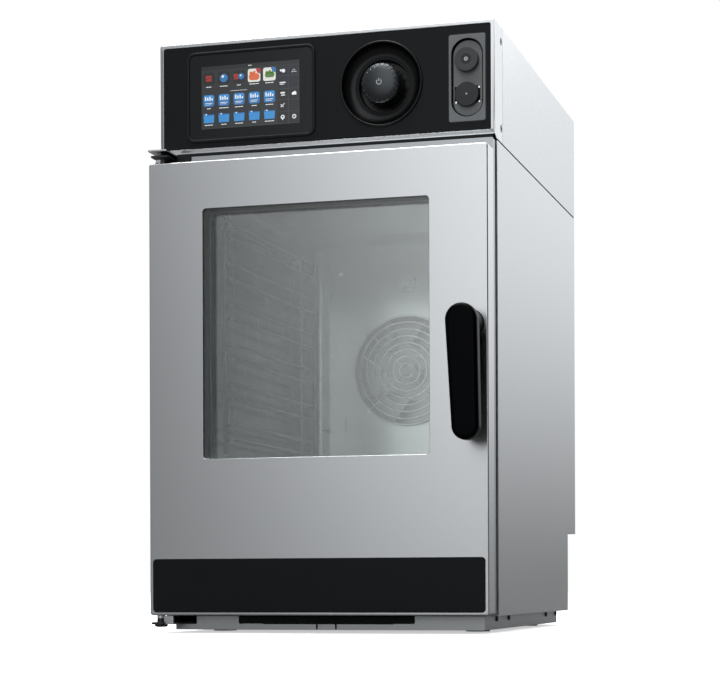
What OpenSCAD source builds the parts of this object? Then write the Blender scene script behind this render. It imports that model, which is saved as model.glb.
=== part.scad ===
// Compact combi steamer oven: a free-standing steel cabinet with a glazed door on
// its left edge, a touch-screen header with one scroll knob, and a fan-driven cavity.
// Every sub-part is drawn in the cabinet frame: X across from the middle, Y back from
// the header's front face, Z up from the underside of the base.

/* [Cabinet] */
// Width over the side panels
cabinet_w = 510; // [506:1:516]
// Height from the underside of the base to the roof
cabinet_h = 865; // [862:1:872]
// Depth from the door's face to the rear wall
cabinet_d = 625; // [620:1:640]
// Height of the low feet under the base
foot_h = 4; // [3:1:6]
// Thickness of the casing sheet
sheet = 1.5; // [1:0.1:1.8]
// How far the service recess at the lower rear cuts into the depth
recess_d = 66; // [60:1:72]
// Height of the service recess above the underside of the base
recess_h = 151; // [145:1:155]

/* [Header] */
// Height of the joint between the body and the header
header_z = 698.6; // [698:0.1:699]
// Underside of the front bezel
bezel_z = 703; // [702.8:0.1:704]
// Depth of the bezel's side returns
bezel_d = 48; // [46:1:50]
// Width of the steel rim round the black fascia
bezel_rim = 5.7; // [5:0.1:6.5]

/* [Door] */
// Face of the door in front of the header's face
door_reach = 42.2; // [41:0.1:43]
// Thickness of the door
door_t = 33.2; // [32:0.1:34]
// Underside of the door
door_z0 = 21.9; // [21.7:0.1:22.5]
// Top of the door
door_z1 = 680.8; // [679:0.1:681.5]
// Hinge axis, distance in from the cabinet's side
hinge_in = 10; // [10:0.1:10.4]
// Hinge axis, distance in front of the header's face
hinge_reach = 25; // [24:0.1:26]

/* [Window] */
// Left, bottom, right and top edges of the window
window = [-170.8, 248.6, 169.7, 611];
// Radius of the window's corners
window_r = 5; // [4:0.5:8]
// Thickness of the outer pane
outer_pane = 5; // [4:0.5:6]
// Thickness of the inner pane
inner_pane = 4; // [3:0.5:5]

/* [Handle] */
// Height of the handle's pivot
handle_z = 428.5; // [420:0.5:440]
// Handle's pivot, to the right of the middle
handle_x = 229; // [227:0.5:230]
// How far the lever's face stands in front of the header's face
handle_reach = 98; // [94:1:102]
// Thickness of the lever
handle_t = 20; // [18:1:24]

/* [Knob] */
// Centre of the scroll knob
knob_at = [87.5, 785];
// Outer radius of the dished ring round the knob
dish_r = 62; // [60:0.5:63]
// Outer radius of the knob
knob_r = 29; // [28:0.5:30]
// Travel of the knob when it is pushed
push_travel = 1.5; // [1:0.1:2]

/* [Cavity] */
// Half width of the cavity
cavity_hw = 186; // [184:0.5:187]
// Floor and ceiling of the cavity
cavity_z = [244, 650];
// Rear wall of the cavity
cavity_y1 = 490; // [485:1:492]
// Radius of the cavity's long corners
cavity_r = 16; // [12:1:16]

/* [Racks] */
// Number of levels
levels = 6; // [4:1:6]
// Height between levels
level_pitch = 60; // [55:1:60]
// Lowest runner
level_z0 = 284; // [282:1:286]
// Height of the anti-tilt wire above its runner
tilt_gap = 22; // [20:1:24]
// Distance of the runners from the middle
runner_x = 163.5; // [163:0.5:165]
// Radius of the rack wire
wire_r = 2.5; // [2:0.1:2.8]

/* [Fan] */
// Height of the fan's axis
fan_z = 424.5; // [422:0.5:427]
// Front face of the air baffle
baffle_y = 429; // [427:0.5:431]
// Half width of the air baffle
baffle_hw = 138; // [136:1:140]
// Radius of the intake hole in the baffle
intake_r = 92; // [90:1:94]

/* [Hidden] */
$fn = 48;

hw = cabinet_w / 2;
// The origin lies under the middle of the whole depth, handle included.
rear_y = cabinet_d - door_reach;
middle_y = (rear_y - handle_reach) / 2;
recess_y = rear_y - recess_d;
door_y0 = -door_reach;
door_y1 = -door_reach + door_t;
hinge_x = -hw + hinge_in;
hinge_y = -hinge_reach;

base_hw = hw - 18.9;
base_y0 = 7.4;
base_y1 = recess_y - 5.2;
base_h = 20.3;
base_sheet = 2;
slot_x = [-136.5, 133];
slot_z = 8.3;
slot_r = 3;
panel_y0 = 16;
frame_y = -2;
frame_hw = hw - 2;
gap = 0.3;

screen = [-212.2, 717.7, -12.5, 850.8];
port = [188.5, 722.6, 242, 846];
probe_at = [214.5, 810];
usb_at = [214.6, 761];
cap_r = 17.3;
filter_len = 290;
motor_r = 60;
shaft_r = 6;
pin_r = 4;
fit_gap = 0.05;
hub_r = 20.5;
vent_at = [-70, 455];
vent_z = 790;
vent_r = 20;
flap_z = 740;
cooler_at = [120, 785];
drain_z = 75;
drain_y = 300;
inlets_x = [-165, -110];
inlet_z = 105;
gland_at = [165, 60];
feet_at = [for (x = [-200, 200], y = [110, 440]) [x, y]];
stud_r = 5;
hinge_cut_x = -203;
hinge_cut_y = 74;
plate_z = 8.5;
bezel_screw_y = 40;
bezel_screw_z = [719, 843.6];
low_screw_y = [79, 156, 423, 500];
baffle_z = [250, 638];
post_at = [for (x = [-120, 120], z = [275, 595]) [x, z]];
element_r = [118, 128];
element_y = [448, 460];
lead_x = [10, 30];
element_leads = [for (i = [0, 1], s = [-1, 1])
    [s * lead_x[i], fan_z - sqrt(pow(element_r[i], 2) - pow(lead_x[i], 2))]];
injector_at = [110, 515];
sensor_at = [-155, 330];
rack_y = [60, 395];
post_wire_x = 176;
rack_top = level_z0 + (levels - 1) * level_pitch + tilt_gap + 6;
panel_z1 = header_z - 0.4;
face = [-hw + bezel_rim, bezel_z + 6.3, hw - bezel_rim, cabinet_h - bezel_rim + 0.7];

steel = "lightsteelblue";
dark = [0.10, 0.11, 0.12];

// --- building blocks -------------------------------------------------------

module in_cabinet() {
    translate([0, -middle_y, foot_h]) children();
}

module block(x0, x1, y0, y1, z0, z1) {
    translate([x0, y0, z0]) cube([x1 - x0, y1 - y0, z1 - z0]);
}

// A 2D rectangle with round corners, given by its left, low, right and high edges.
module round_box(b, r) {
    translate([b[0] + r, b[1]]) square([b[2] - b[0] - 2 * r, b[3] - b[1]]);
    translate([b[0], b[1] + r]) square([b[2] - b[0], b[3] - b[1] - 2 * r]);
    for (x = [b[0] + r, b[2] - r], z = [b[1] + r, b[3] - r]) translate([x, z]) circle(r);
}

function grow(b, d) = [b[0] - d, b[1] - d, b[2] + d, b[3] + d];

// Stands a 2D shape up in XZ and fills it from y0 back to y1.
module upright(y0, y1) {
    translate([0, y1, 0]) rotate([90, 0, 0]) linear_extrude(y1 - y0) children();
}

// Stands a 2D shape of Y and Z up and fills it from x0 to x1.
module sideways(x0, x1) {
    translate([x0, 0, 0]) rotate([90, 0, 90]) linear_extrude(x1 - x0) children();
}

module rod_y(x, z, y0, y1, r) {
    translate([x, y0, z]) rotate([-90, 0, 0]) cylinder(h = y1 - y0, r = r);
}

module rod_x(y, z, x0, x1, r) {
    translate([x0, y, z]) rotate([0, 90, 0]) cylinder(h = x1 - x0, r = r);
}

module rod_z(x, y, z0, z1, r) {
    translate([x, y, z0]) cylinder(h = z1 - z0, r = r);
}

// Turns a profile of radius and Y about an axis along Y.
module turned(x, z) {
    translate([x, 0, z]) rotate([-90, 0, 0]) rotate_extrude() children();
}

module ring_y(x, z, y, r, wire) {
    translate([x, y, z]) rotate([-90, 0, 0]) rotate_extrude() translate([r, 0]) circle(wire);
}

module both_sides() {
    children();
    mirror([1, 0, 0]) children();
}

// Two circles and the straight sides that join them.
module link(a, ra, b, rb) {
    run = b - a;
    far = norm(run);
    lean = acos((ra - rb) / far);
    heading = atan2(run[1], run[0]);
    sides = [for (s = [-1, 1]) [cos(heading + s * lean), sin(heading + s * lean)]];
    translate(a) circle(ra);
    translate(b) circle(rb);
    polygon([a + ra * sides[0], b + rb * sides[0], b + rb * sides[1], a + ra * sides[1]]);
}

// --- base and casing -------------------------------------------------------

module base_frame() {
    tongue_x = [-15.3, 13.7];
    color(steel) in_cabinet() difference() {
        union() {
            block(-base_hw, base_hw, base_y0, base_y1, 0, base_sheet);
            block(-base_hw, base_hw, base_y0, base_y0 + base_sheet, 0, base_h);
            block(-base_hw, base_hw, base_y1 - base_sheet, base_y1, 0, base_h);
            both_sides() block(base_hw - base_sheet, base_hw, base_y0, base_y1, 0, base_h);
            both_sides() block(100, 148, base_y0, base_y0 + filter_len + 20, 0, slot_z + 0.7);
            block(-base_hw, hinge_cut_x - 2, base_y0, hinge_cut_y - 2, 0, plate_z);
        }
        upright(base_y0 - 1, base_y0 + base_sheet + 1)
            round_box([slot_x[0], slot_z, slot_x[1], base_h + slot_r + 1], slot_r);
        for (x = tongue_x) block(x - 1.3, x + 1.3, base_y0 - 1, base_y0 + 6, -1, slot_z + 1);
        block(-base_hw - 1, hinge_cut_x, base_y0 - 1, hinge_cut_y, plate_z, base_h + 1);
        for (p = feet_at) rod_z(p[0], p[1], -1, base_sheet + 1, stud_r);
    }
}

module feet() {
    pad_r = 18;
    collar = 1;
    color(dark) in_cabinet() for (p = feet_at) {
        rod_z(p[0], p[1], -foot_h, -collar, pad_r);
        rod_z(p[0], p[1], -collar, 0, 2 * stud_r);
        rod_z(p[0], p[1], 0, 14, stud_r);
    }
}

module side_outline() {
    polygon([
        [panel_y0, base_h], [recess_y, base_h], [recess_y, recess_h],
        [rear_y, recess_h], [rear_y, panel_z1], [panel_y0, panel_z1]
    ]);
}

module side_panel() {
    in = hw - sheet;
    sideways(in, hw) side_outline();
    flange = 12;
    block(in - flange, in, panel_y0, panel_y0 + sheet, base_h, panel_z1);
    block(base_hw - 8, in, panel_y0 + sheet, base_y1, base_h, base_h + sheet);
    block(in - flange, in, panel_y0 + sheet, rear_y - sheet, panel_z1 - sheet, panel_z1);
}

module left_side_panel() {
    color(steel) in_cabinet() mirror([1, 0, 0]) side_panel();
}

module right_side_panel() {
    color(steel) in_cabinet() side_panel();
}

module rear_panel() {
    in = hw - sheet;
    color(steel) in_cabinet() difference() {
        union() {
            block(-in, in, rear_y - sheet, rear_y, recess_h, panel_z1);
            block(-in, in, recess_y - sheet, rear_y - sheet, recess_h, recess_h + sheet);
            block(-in, in, recess_y - sheet, recess_y, base_h, recess_h);
        }
        for (row = [0:8], x = [-150, 0, 150])
            block(x - 55, x + 55, rear_y - 5, rear_y + 1, 540 + row * 14, 545 + row * 14);
        rod_y(0, drain_z, recess_y - 5, recess_y + 5, 18.5);
        for (x = inlets_x) rod_y(x, inlet_z, recess_y - 5, recess_y + 5, 13.2);
        rod_y(gland_at[0], gland_at[1], recess_y - 5, recess_y + 5, 10);
    }
}

module header_cover() {
    in = hw - sheet;
    z0 = header_z + 0.4;
    color(steel) in_cabinet() difference() {
        union() {
            both_sides() block(in, hw, bezel_d + 0.8, rear_y, z0, cabinet_h);
            block(-in, in, bezel_d + 0.8, rear_y, cabinet_h - sheet, cabinet_h);
            block(-in, in, rear_y - sheet, rear_y, z0, cabinet_h - sheet);
        }
        rod_y(vent_at[0], vent_z, rear_y - 5, rear_y + 5, vent_r);
        for (row = [-4:4])
            block(cooler_at[0] - 50, cooler_at[0] + 50, rear_y - 5, rear_y + 5,
                  cooler_at[1] + row * 11 - 3, cooler_at[1] + row * 11 + 3);
    }
}

module header_bezel() {
    rim = [-hw, bezel_z, hw, cabinet_h];
    color(steel) in_cabinet() difference() {
        union() {
            upright(0, sheet) difference() {
                round_box(rim, 3);
                round_box(face, 3);
            }
            both_sides() sideways(hw - sheet, hw) polygon([
                [sheet, bezel_z + 0.5], [12, header_z + 0.4], [bezel_d, header_z + 0.4],
                [bezel_d, cabinet_h], [sheet, cabinet_h]
            ]);
            block(-hw + sheet, hw - sheet, sheet, bezel_d, cabinet_h - sheet, cabinet_h);
            block(-hw + sheet, hw - sheet, sheet, 30, bezel_z, bezel_z + sheet);
        }
        for (z = bezel_screw_z) rod_x(bezel_screw_y, z, -hw - 1, hw + 1, 5.5);
    }
}

module casing_screws() {
    color(dark) in_cabinet() both_sides() {
        for (z = bezel_screw_z) {
            rod_x(bezel_screw_y, z, hw - sheet, hw - 0.2, 5.5);
            rod_x(bezel_screw_y, z, hw - 12, hw - sheet, 2.5);
        }
        for (y = low_screw_y) rod_x(y, 17, base_hw, base_hw + 2, 3);
    }
}

// --- control header --------------------------------------------------------

module control_fascia() {
    color(dark) in_cabinet() difference() {
        union() {
            upright(0.4, sheet) round_box(grow(face, -gap), 3 - gap);
            upright(sheet, 3.5) round_box([-hw + 2, bezel_z + 2, hw - 2, cabinet_h - 2], 2);
        }
        upright(0, 5) round_box(grow(screen, -4.5), 8);
        rod_y(knob_at[0], knob_at[1], 0, 5, dish_r - 3);
        upright(0, 5) round_box(grow(port, -2), 2);
    }
}

module screen_bezel() {
    color("dimgray") in_cabinet() upright(-2.2, 0.4) difference() {
        round_box(screen, 12);
        round_box(grow(screen, -4.5), 8);
    }
}

module screen_glass() {
    color(dark) in_cabinet() upright(-0.6, 3.5) round_box(grow(screen, -4.6), 7.9);
}

module lcd_panel() {
    color("slategray") in_cabinet() upright(3.5, 9) round_box([-197, 731, -28.7, 836], 2);
}

module drip_channel() {
    color(dark) in_cabinet() difference() {
        block(-hw + 3, hw - 3, 1.5, 16, header_z + 0.6, bezel_z);
        block(-hw + 8, hw - 8, 4, 12, header_z + 1.8, bezel_z + 1);
    }
}

// The dished ring: a rounded lip, a concave flank, a flat land and a well.
module knob_recess() {
    steps = 8;
    land_r = 42;
    well_r = 37.5;
    land_y = 13.5;
    well_y = 22;
    hole_r = 4.2;
    flank = [for (i = [0:steps]) let (t = 90 * i / steps)
        [land_r + 17 * cos(t), -2 + (land_y + 2) * sin(t)]];
    color(dark) in_cabinet() turned(knob_at[0], knob_at[1]) polygon(concat(
        [[hole_r, well_y], [well_r, well_y], [well_r, land_y], [land_r, land_y]],
        [for (i = [0:steps]) flank[steps - i]],
        [[dish_r - 2, -2.5], [dish_r, -1], [dish_r, 0.4], [dish_r - 3, 0.4],
         [dish_r - 3.6, 8], [land_r + 4, land_y + 3.5], [well_r + 2.5, land_y + 3.5],
         [well_r + 2.5, well_y + 2.5], [hole_r, well_y + 2.5]]
    ));
}

module encoder() {
    y0 = 24.5;
    s = 13;
    color("slategray") in_cabinet() difference() {
        block(knob_at[0] - s, knob_at[0] + s, y0, y0 + 16, knob_at[1] - s, knob_at[1] + s);
        rod_y(knob_at[0], knob_at[1], y0 - 1, y0 + 11, 5.2);
    }
}

module encoder_plunger() {
    color("silver") in_cabinet() difference() {
        rod_y(knob_at[0], knob_at[1], 25, 33, 5.2 - fit_gap);
        rod_y(knob_at[0], knob_at[1], 24, 34, 3 + fit_gap);
    }
}

module control_knob() {
    front = -11;
    shoulder = -3;
    skirt = 19.5;
    steps = 6;
    dome = [for (i = [0:steps]) let (t = 90 * i / steps)
        [knob_r * sin(t), shoulder - (shoulder - front) * cos(t)]];
    color(dark) in_cabinet() {
        turned(knob_at[0], knob_at[1]) difference() {
            polygon(concat(dome, [[knob_r, skirt], [knob_r - 3, skirt], [knob_r - 3, 0],
                                  [8, 2], [8, 16], [0, 16]]));
        }
        rod_y(knob_at[0], knob_at[1], 16, 32, 3);
    }
}

module port_plate() {
    face_y = -0.9;
    floor_y = 3.4;
    groove_y = 5.9;
    recess = [191.9, 729, 238.6, 840.4];
    color("slategray") in_cabinet() difference() {
        union() {
            upright(face_y, 0.4) round_box(port, 3);
            upright(0.4, 8) round_box(grow(port, -2), 2);
        }
        upright(face_y - 1, floor_y) round_box(recess, 22.5);
        upright(face_y - 1, groove_y) difference() {
            round_box(recess, 22.5);
            round_box(grow(recess, -2.3), 20.2);
        }
        upright(floor_y - 1, groove_y) round_box([usb_at[0] - 18.8, usb_at[1] - 12,
                                                  usb_at[0] + 18.8, usb_at[1] + 12], 1.5);
        rod_y(probe_at[0], probe_at[1], floor_y - 1, 9, 11);
        rod_y(usb_at[0], usb_at[1], floor_y - 1, 9, 11);
    }
}

module port_sockets() {
    x = usb_at[0];
    z = usb_at[1];
    color("dimgray") in_cabinet() {
        difference() {
            rod_y(probe_at[0], probe_at[1], 5, 24, 11);
            rod_y(probe_at[0], probe_at[1], 4, 22, 8);
        }
        difference() {
            rod_y(x, z, 5, 24, 11);
            block(x - 6.4, x + 6.4, 4, 21, z - 2.6, z + 2.6);
        }
    }
}

module probe_cap() {
    color(dark) in_cabinet() {
        rod_y(probe_at[0], probe_at[1], -4.6, 3.2, cap_r);
        rod_y(probe_at[0], probe_at[1], 3.2, 13, 7.5);
    }
}

module usb_cap() {
    x = usb_at[0];
    z = usb_at[1];
    color(dark) in_cabinet() {
        rod_y(x, z, -2.8, 3.2, cap_r);
        block(x - 5.9, x + 5.9, 3.2, 13, z - 2.1, z + 2.1);
    }
}

// The display board behind the fascia and the power board on the left of the header.
module circuit_boards() {
    color("darkgreen") in_cabinet() {
        block(-200, 230, 45, 47, 725, 845);
        block(-60, 20, 47, 58, 740, 790);
        block(120, 200, 47, 62, 745, 800);
        block(-220, -110, 120, 400, 716, 718);
        block(-210, -160, 140, 190, 718, 760);
        block(-200, -130, 220, 290, 718, 745);
        for (y = [310, 345, 380]) rod_z(-165, y, 718, 748, 12);
    }
}

module cooling_fan_housing() {
    x = cooler_at[0];
    z = cooler_at[1];
    y1 = rear_y - sheet;
    color(dark) in_cabinet() difference() {
        union() {
            difference() {
                block(x - 60, x + 60, y1 - 38, y1, z - 60, z + 60);
                rod_y(x, z, y1 - 40, y1 + 1, 57);
            }
            for (a = [0:120:240]) translate([x, 0, z]) rotate([0, a, 0])
                block(-4, 4, y1 - 4, y1, 0, 58);
            rod_y(x, z, y1 - 4, y1, 21);
            rod_y(x, z, y1 - 24, y1 - 4, pin_r);
        }
    }
}

module cooling_fan_rotor() {
    x = cooler_at[0];
    z = cooler_at[1];
    y1 = rear_y - sheet - 6;
    color("dimgray") in_cabinet() difference() {
        union() {
            rod_y(x, z, y1 - 24, y1, 20);
            for (i = [0:6]) translate([x, y1 - 12, z]) rotate([0, i * 360 / 7, 0])
                rotate([0, 0, 35]) block(-13, 13, -1, 1, 18, 53);
        }
        rod_y(x, z, y1 - 18, y1 + 1, pin_r + fit_gap);
    }
}

// --- cavity and air system -------------------------------------------------

module cavity_box(d) {
    round_box(grow([-cavity_hw, cavity_z[0], cavity_hw, cavity_z[1]], d), cavity_r + d);
}

module front_frame() {
    z1 = header_z - 1.1;
    slot = [212, handle_z - 19, 248, handle_z + 19];
    color(steel) in_cabinet() difference() {
        union() {
            upright(frame_y, frame_y + 2) difference() {
                round_box([-frame_hw, base_h + 1.7, frame_hw, z1], 2);
                cavity_box(2);
            }
            both_sides() block(frame_hw - 1.5, frame_hw, frame_y + 2, 9, base_h + 4, z1 - 2);
            block(-frame_hw + 2, frame_hw - 2, frame_y + 2, 9, z1 - 1.5, z1);
        }
        upright(frame_y - 1, frame_y + 3) round_box(slot, 4);
    }
}

module frame_seal() {
    color(dark) in_cabinet() both_sides()
        block(frame_hw - 10, frame_hw - 2, frame_y + 2, panel_y0, base_h + 5, header_z - 4);
}

module door_gasket() {
    color(dark) in_cabinet() upright(door_y1 + gap, frame_y) difference() {
        cavity_box(25);
        cavity_box(13);
    }
}

module cavity_liner() {
    color("gainsboro") in_cabinet() difference() {
        union() {
            upright(frame_y, cavity_y1) difference() {
                cavity_box(2);
                cavity_box(0);
            }
            upright(cavity_y1, cavity_y1 + 2) cavity_box(2);
        }
        rod_y(0, fan_z, cavity_y1 - 1, cavity_y1 + 3, 8);
        for (e = element_leads) rod_y(e[0], e[1], cavity_y1 - 1, cavity_y1 + 3, 4);
        rod_y(injector_at[0], injector_at[1], cavity_y1 - 1, cavity_y1 + 3, 5);
        rod_y(sensor_at[0], sensor_at[1], cavity_y1 - 1, cavity_y1 + 3, 3);
        rod_z(0, drain_y, cavity_z[0] - 3, cavity_z[0] + 1, 16.5);
        rod_z(vent_at[0], vent_at[1], cavity_z[1] - 1, cavity_z[1] + 3, vent_r - 2);
    }
}

module insulation() {
    y1 = cavity_y1 + 34;
    color("khaki") in_cabinet() difference() {
        upright(panel_y0 + sheet, y1) cavity_box(36);
        upright(panel_y0, cavity_y1) cavity_box(2);
        upright(cavity_y1 - 1, cavity_y1 + 2) cavity_box(2);
        rod_y(0, fan_z, cavity_y1, y1 + 1, 8);
        for (e = element_leads) rod_y(e[0], e[1], cavity_y1, y1 + 1, 4);
        rod_y(injector_at[0], injector_at[1], cavity_y1, y1 + 1, 5);
        rod_y(sensor_at[0], sensor_at[1], cavity_y1, y1 + 1, 3);
        rod_z(0, drain_y, cavity_z[0] - 40, cavity_z[0], 18.5);
        rod_z(vent_at[0], vent_at[1], cavity_z[1], cavity_z[1] + 40, vent_r);
    }
}

module fan_baffle() {
    back = baffle_y + sheet;
    color("silver") in_cabinet() difference() {
        union() {
            block(-baffle_hw, baffle_hw, baffle_y, back, baffle_z[0], baffle_z[1]);
            both_sides() block(baffle_hw - sheet, baffle_hw, back, back + 18,
                               baffle_z[0], baffle_z[1]);
        }
        rod_y(0, fan_z, baffle_y - 1, back + 1, intake_r);
        for (x = [-109, 109], z = [334.6, 538.5])
            block(x - 1.5, x + 1.5, baffle_y - 1, back + 1, z - 11, z + 11);
        for (p = post_at) rod_y(p[0], p[1], baffle_y - 1, back + 1, 3);
    }
}

module baffle_posts() {
    color("silver") in_cabinet() for (p = post_at) {
        rod_y(p[0], p[1], baffle_y + sheet, cavity_y1, 6);
        rod_y(p[0], p[1], baffle_y, baffle_y + sheet, 3);
        rod_y(p[0], p[1], baffle_y - 5, baffle_y, 7);
    }
}

// Concentric wires on four crossed spokes, with a screwed lug at each end of a spoke.
module fan_grille() {
    wires = [12, 23.5, 35, 46.5, 58, 69.5, 81];
    wire = 1.5;
    y = baffle_y - 5;
    color("silver") in_cabinet() {
        ring_y(0, fan_z, y, intake_r - 0.5, 2);
        for (r = wires) ring_y(0, fan_z, y, r, wire);
        for (a = [45, 135]) translate([0, y + 2.4, fan_z]) rotate([0, a, 0])
            translate([0, 0, -intake_r]) cylinder(h = 2 * intake_r, r = wire);
        for (a = [45:90:315]) translate([0, 0, fan_z]) rotate([0, a, 0]) {
            block(-5, 5, baffle_y - 1.5, baffle_y, intake_r + 0.5, intake_r + 14);
            block(-3, 3, y, baffle_y, intake_r - 1, intake_r + 2);
            rod_y(0, intake_r + 8, baffle_y - 4, baffle_y - 1.5, 4);
        }
    }
}

module spray_nozzle() {
    z = 571;
    color("silver") in_cabinet() {
        rod_y(0, z, baffle_y - 3, baffle_y, 16);
        rod_y(0, z, baffle_y - 9, baffle_y - 3, 8);
    }
}

module heating_element() {
    color("dimgray") in_cabinet() {
        for (i = [0, 1]) ring_y(0, fan_z, element_y[i], element_r[i], 4);
        for (i = [0, 1], s = [0, 1])
            rod_y(element_leads[2 * i + s][0], element_leads[2 * i + s][1],
                  element_y[i], cavity_y1 + 44, 4);
    }
}

module steam_injector() {
    color("silver") in_cabinet() difference() {
        rod_y(injector_at[0], injector_at[1], cavity_y1 - 10, cavity_y1 + 44, 5);
        rod_y(injector_at[0], injector_at[1], cavity_y1 - 11, cavity_y1 + 45, 3.5);
    }
}

module temperature_probe() {
    color("silver") in_cabinet()
        rod_y(sensor_at[0], sensor_at[1], cavity_y1 - 45, cavity_y1 + 44, 3);
}

// Backward-curved blades between a back plate and a front ring.
module fan_wheel() {
    blades = 8;
    y0 = 440;
    y1 = 478;
    color("silver") in_cabinet() {
        rod_y(0, fan_z, y1 - 2, y1, 100);
        rod_y(0, fan_z, y0 + 4, y1, 16);
        rod_y(0, fan_z, y0 - 4, y0 + 4, 10);
        turned(0, fan_z) translate([90, y0]) square([10, 2]);
        for (i = [0:blades - 1]) translate([0, 0, fan_z]) rotate([0, i * 360 / blades, 0])
            translate([0, 0, 45]) rotate([0, 35, 0]) block(-1, 1, y0, y1, 0, 56);
        rod_y(0, fan_z, y1, 540, shaft_r);
    }
}

module fan_motor() {
    y0 = cavity_y1 + 34;
    color("dimgray") in_cabinet() difference() {
        union() {
            block(-80, 80, y0, y0 + 3, fan_z - 80, fan_z + 80);
            rod_y(0, fan_z, y0 + 3, rear_y - 4, motor_r);
        }
        rod_y(0, fan_z, y0 - 1, 541, shaft_r + fit_gap);
    }
}

// --- racks -----------------------------------------------------------------

module rack() {
    front = 45;
    rear = 410;
    heights = [for (i = [0:levels - 1], d = [0, tilt_gap]) level_z0 + i * level_pitch + d];
    for (y = rack_y) rod_z(post_wire_x, y, level_z0 - 22, rack_top, wire_r + 0.5);
    rod_y(post_wire_x, rack_top, rack_y[0], rack_y[1], wire_r);
    for (y = rack_y) translate([post_wire_x, y, rack_top]) sphere(wire_r + 0.5);
    for (z = heights) {
        rod_y(runner_x, z, front, rear, wire_r);
        for (y = rack_y) rod_x(y, z, runner_x, post_wire_x, wire_r);
    }
}

module rack_left() {
    color("silver") in_cabinet() mirror([1, 0, 0]) rack();
}

module rack_right() {
    color("silver") in_cabinet() rack();
}

module rack_studs() {
    color("silver") in_cabinet() both_sides() for (y = [rack_y[0] + 14, rack_y[1] - 14])
        rod_x(y, rack_top - wire_r - 4, post_wire_x - 5, cavity_hw, 4);
}

// --- services --------------------------------------------------------------

module drain_pipe() {
    tail = recess_y + 44;
    floor_z = cavity_z[0] - 2;
    color("dimgray") in_cabinet() difference() {
        union() {
            rod_z(0, drain_y, drain_z, floor_z, 18.5);
            translate([0, drain_y, drain_z]) sphere(18.5);
            rod_y(0, drain_z, drain_y, recess_y, 18.5);
            rod_y(0, drain_z, recess_y, tail, 20);
        }
        rod_z(0, drain_y, drain_z, floor_z + 1, 16.5);
        translate([0, drain_y, drain_z]) sphere(16.5);
        rod_y(0, drain_z, drain_y, tail + 1, 16.5);
    }
}

module vent_pipe() {
    x = vent_at[0];
    y = vent_at[1];
    z0 = cavity_z[1] + 2;
    color("silver") in_cabinet() difference() {
        union() {
            rod_z(x, y, z0, vent_z, vent_r);
            translate([x, y, vent_z]) sphere(vent_r);
            rod_y(x, vent_z, y, rear_y, vent_r);
        }
        rod_z(x, y, z0 - 1, vent_z, vent_r - 2);
        translate([x, y, vent_z]) sphere(vent_r - 2);
        rod_y(x, vent_z, y, rear_y, vent_r - 2);
        rod_y(x, vent_z, rear_y - 25, rear_y + 1, vent_r - 1.4);
        rod_x(y, flap_z, x - vent_r - 1, x + vent_r + 1, 2 + fit_gap);
    }
}

module vent_flap() {
    x = vent_at[0];
    y = vent_at[1];
    color("silver") in_cabinet() {
        rod_z(x, y, flap_z - 0.8, flap_z + 0.8, vent_r - 2.5);
        rod_x(y, flap_z, x - vent_r - 2, x + vent_r + 14, 2);
        rod_x(y, flap_z, x + vent_r + 4, x + vent_r + 10, 9);
    }
}

module water_inlets() {
    color("goldenrod") in_cabinet() for (x = inlets_x) difference() {
        union() {
            rod_y(x, inlet_z, recess_y - 12, recess_y + 24, 13.2);
            rod_y(x, inlet_z, recess_y, recess_y + 5, 17);
            block(x - 16, x + 16, recess_y - 62, recess_y - 12, inlet_z - 16, inlet_z + 16);
            rod_z(x, recess_y - 40, inlet_z + 16, inlet_z + 44, 12);
        }
        rod_y(x, inlet_z, recess_y - 30, recess_y + 25, 9);
    }
}

module cable_gland() {
    x = gland_at[0];
    z = gland_at[1];
    color(dark) in_cabinet() difference() {
        union() {
            rod_y(x, z, recess_y - 14, recess_y + 6, 10);
            translate([x, recess_y + 6, z]) rotate([-90, 0, 0]) cylinder(h = 14, r = 14, $fn = 6);
            block(x - 30, x + 30, recess_y - 50, recess_y - 14, z - 22, z + 22);
        }
        rod_y(x, z, recess_y - 20, recess_y + 21, 7);
    }
}

// --- hinges and latch ------------------------------------------------------

module top_hinge() {
    left = -hw + 0.2;
    color("silver") in_cabinet() difference() {
        union() {
            block(left, -226, -45, 1.4, header_z - 1, header_z + 2);
            block(left + 1.6, -227, -38, frame_y, 690.5, 693.7);
            block(left + 2.6, -205, frame_y - 2.1, frame_y, 684, header_z - 1);
        }
        rod_z(hinge_x, hinge_y, 680, 700, pin_r);
    }
}

module bottom_hinge() {
    left = -hw + 0.2;
    knuckle_x = [-238.7, -224];
    back_y = hinge_cut_y - 0.4;
    color("silver") in_cabinet() difference() {
        union() {
            block(left, knuckle_x[0], -38, 4, plate_z, plate_z + 3.5);
            block(knuckle_x[0], knuckle_x[1], -30, 4, plate_z, door_z0 - 0.9);
            block(-base_hw, hinge_cut_x - 3, 4, back_y, plate_z, plate_z + 3.5);
            block(-base_hw, -base_hw + 3, 4, back_y, plate_z, base_h - 0.3);
            block(-base_hw, hinge_cut_x - 0.4, back_y - 3, back_y, plate_z, base_h - 0.3);
        }
        rod_z(hinge_x, hinge_y, 8, 13, pin_r);
    }
}

module hinge_pins() {
    color("dimgray") in_cabinet() {
        rod_z(hinge_x, hinge_y, 668, header_z - 1, pin_r);
        rod_z(hinge_x, hinge_y, 684.7, 690.5, 6.5);
        rod_z(hinge_x, hinge_y, 8.5, 35, pin_r);
        rod_z(hinge_x, hinge_y, 4.7, 8.5, 9.5);
        rod_z(hinge_x, hinge_y, 12, door_z0 - gap, 6);
    }
}

module door_striker() {
    color("silver") in_cabinet() {
        block(203, 211, 0, 14, handle_z - 24, handle_z + 24);
    }
}

// --- door ------------------------------------------------------------------

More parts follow.
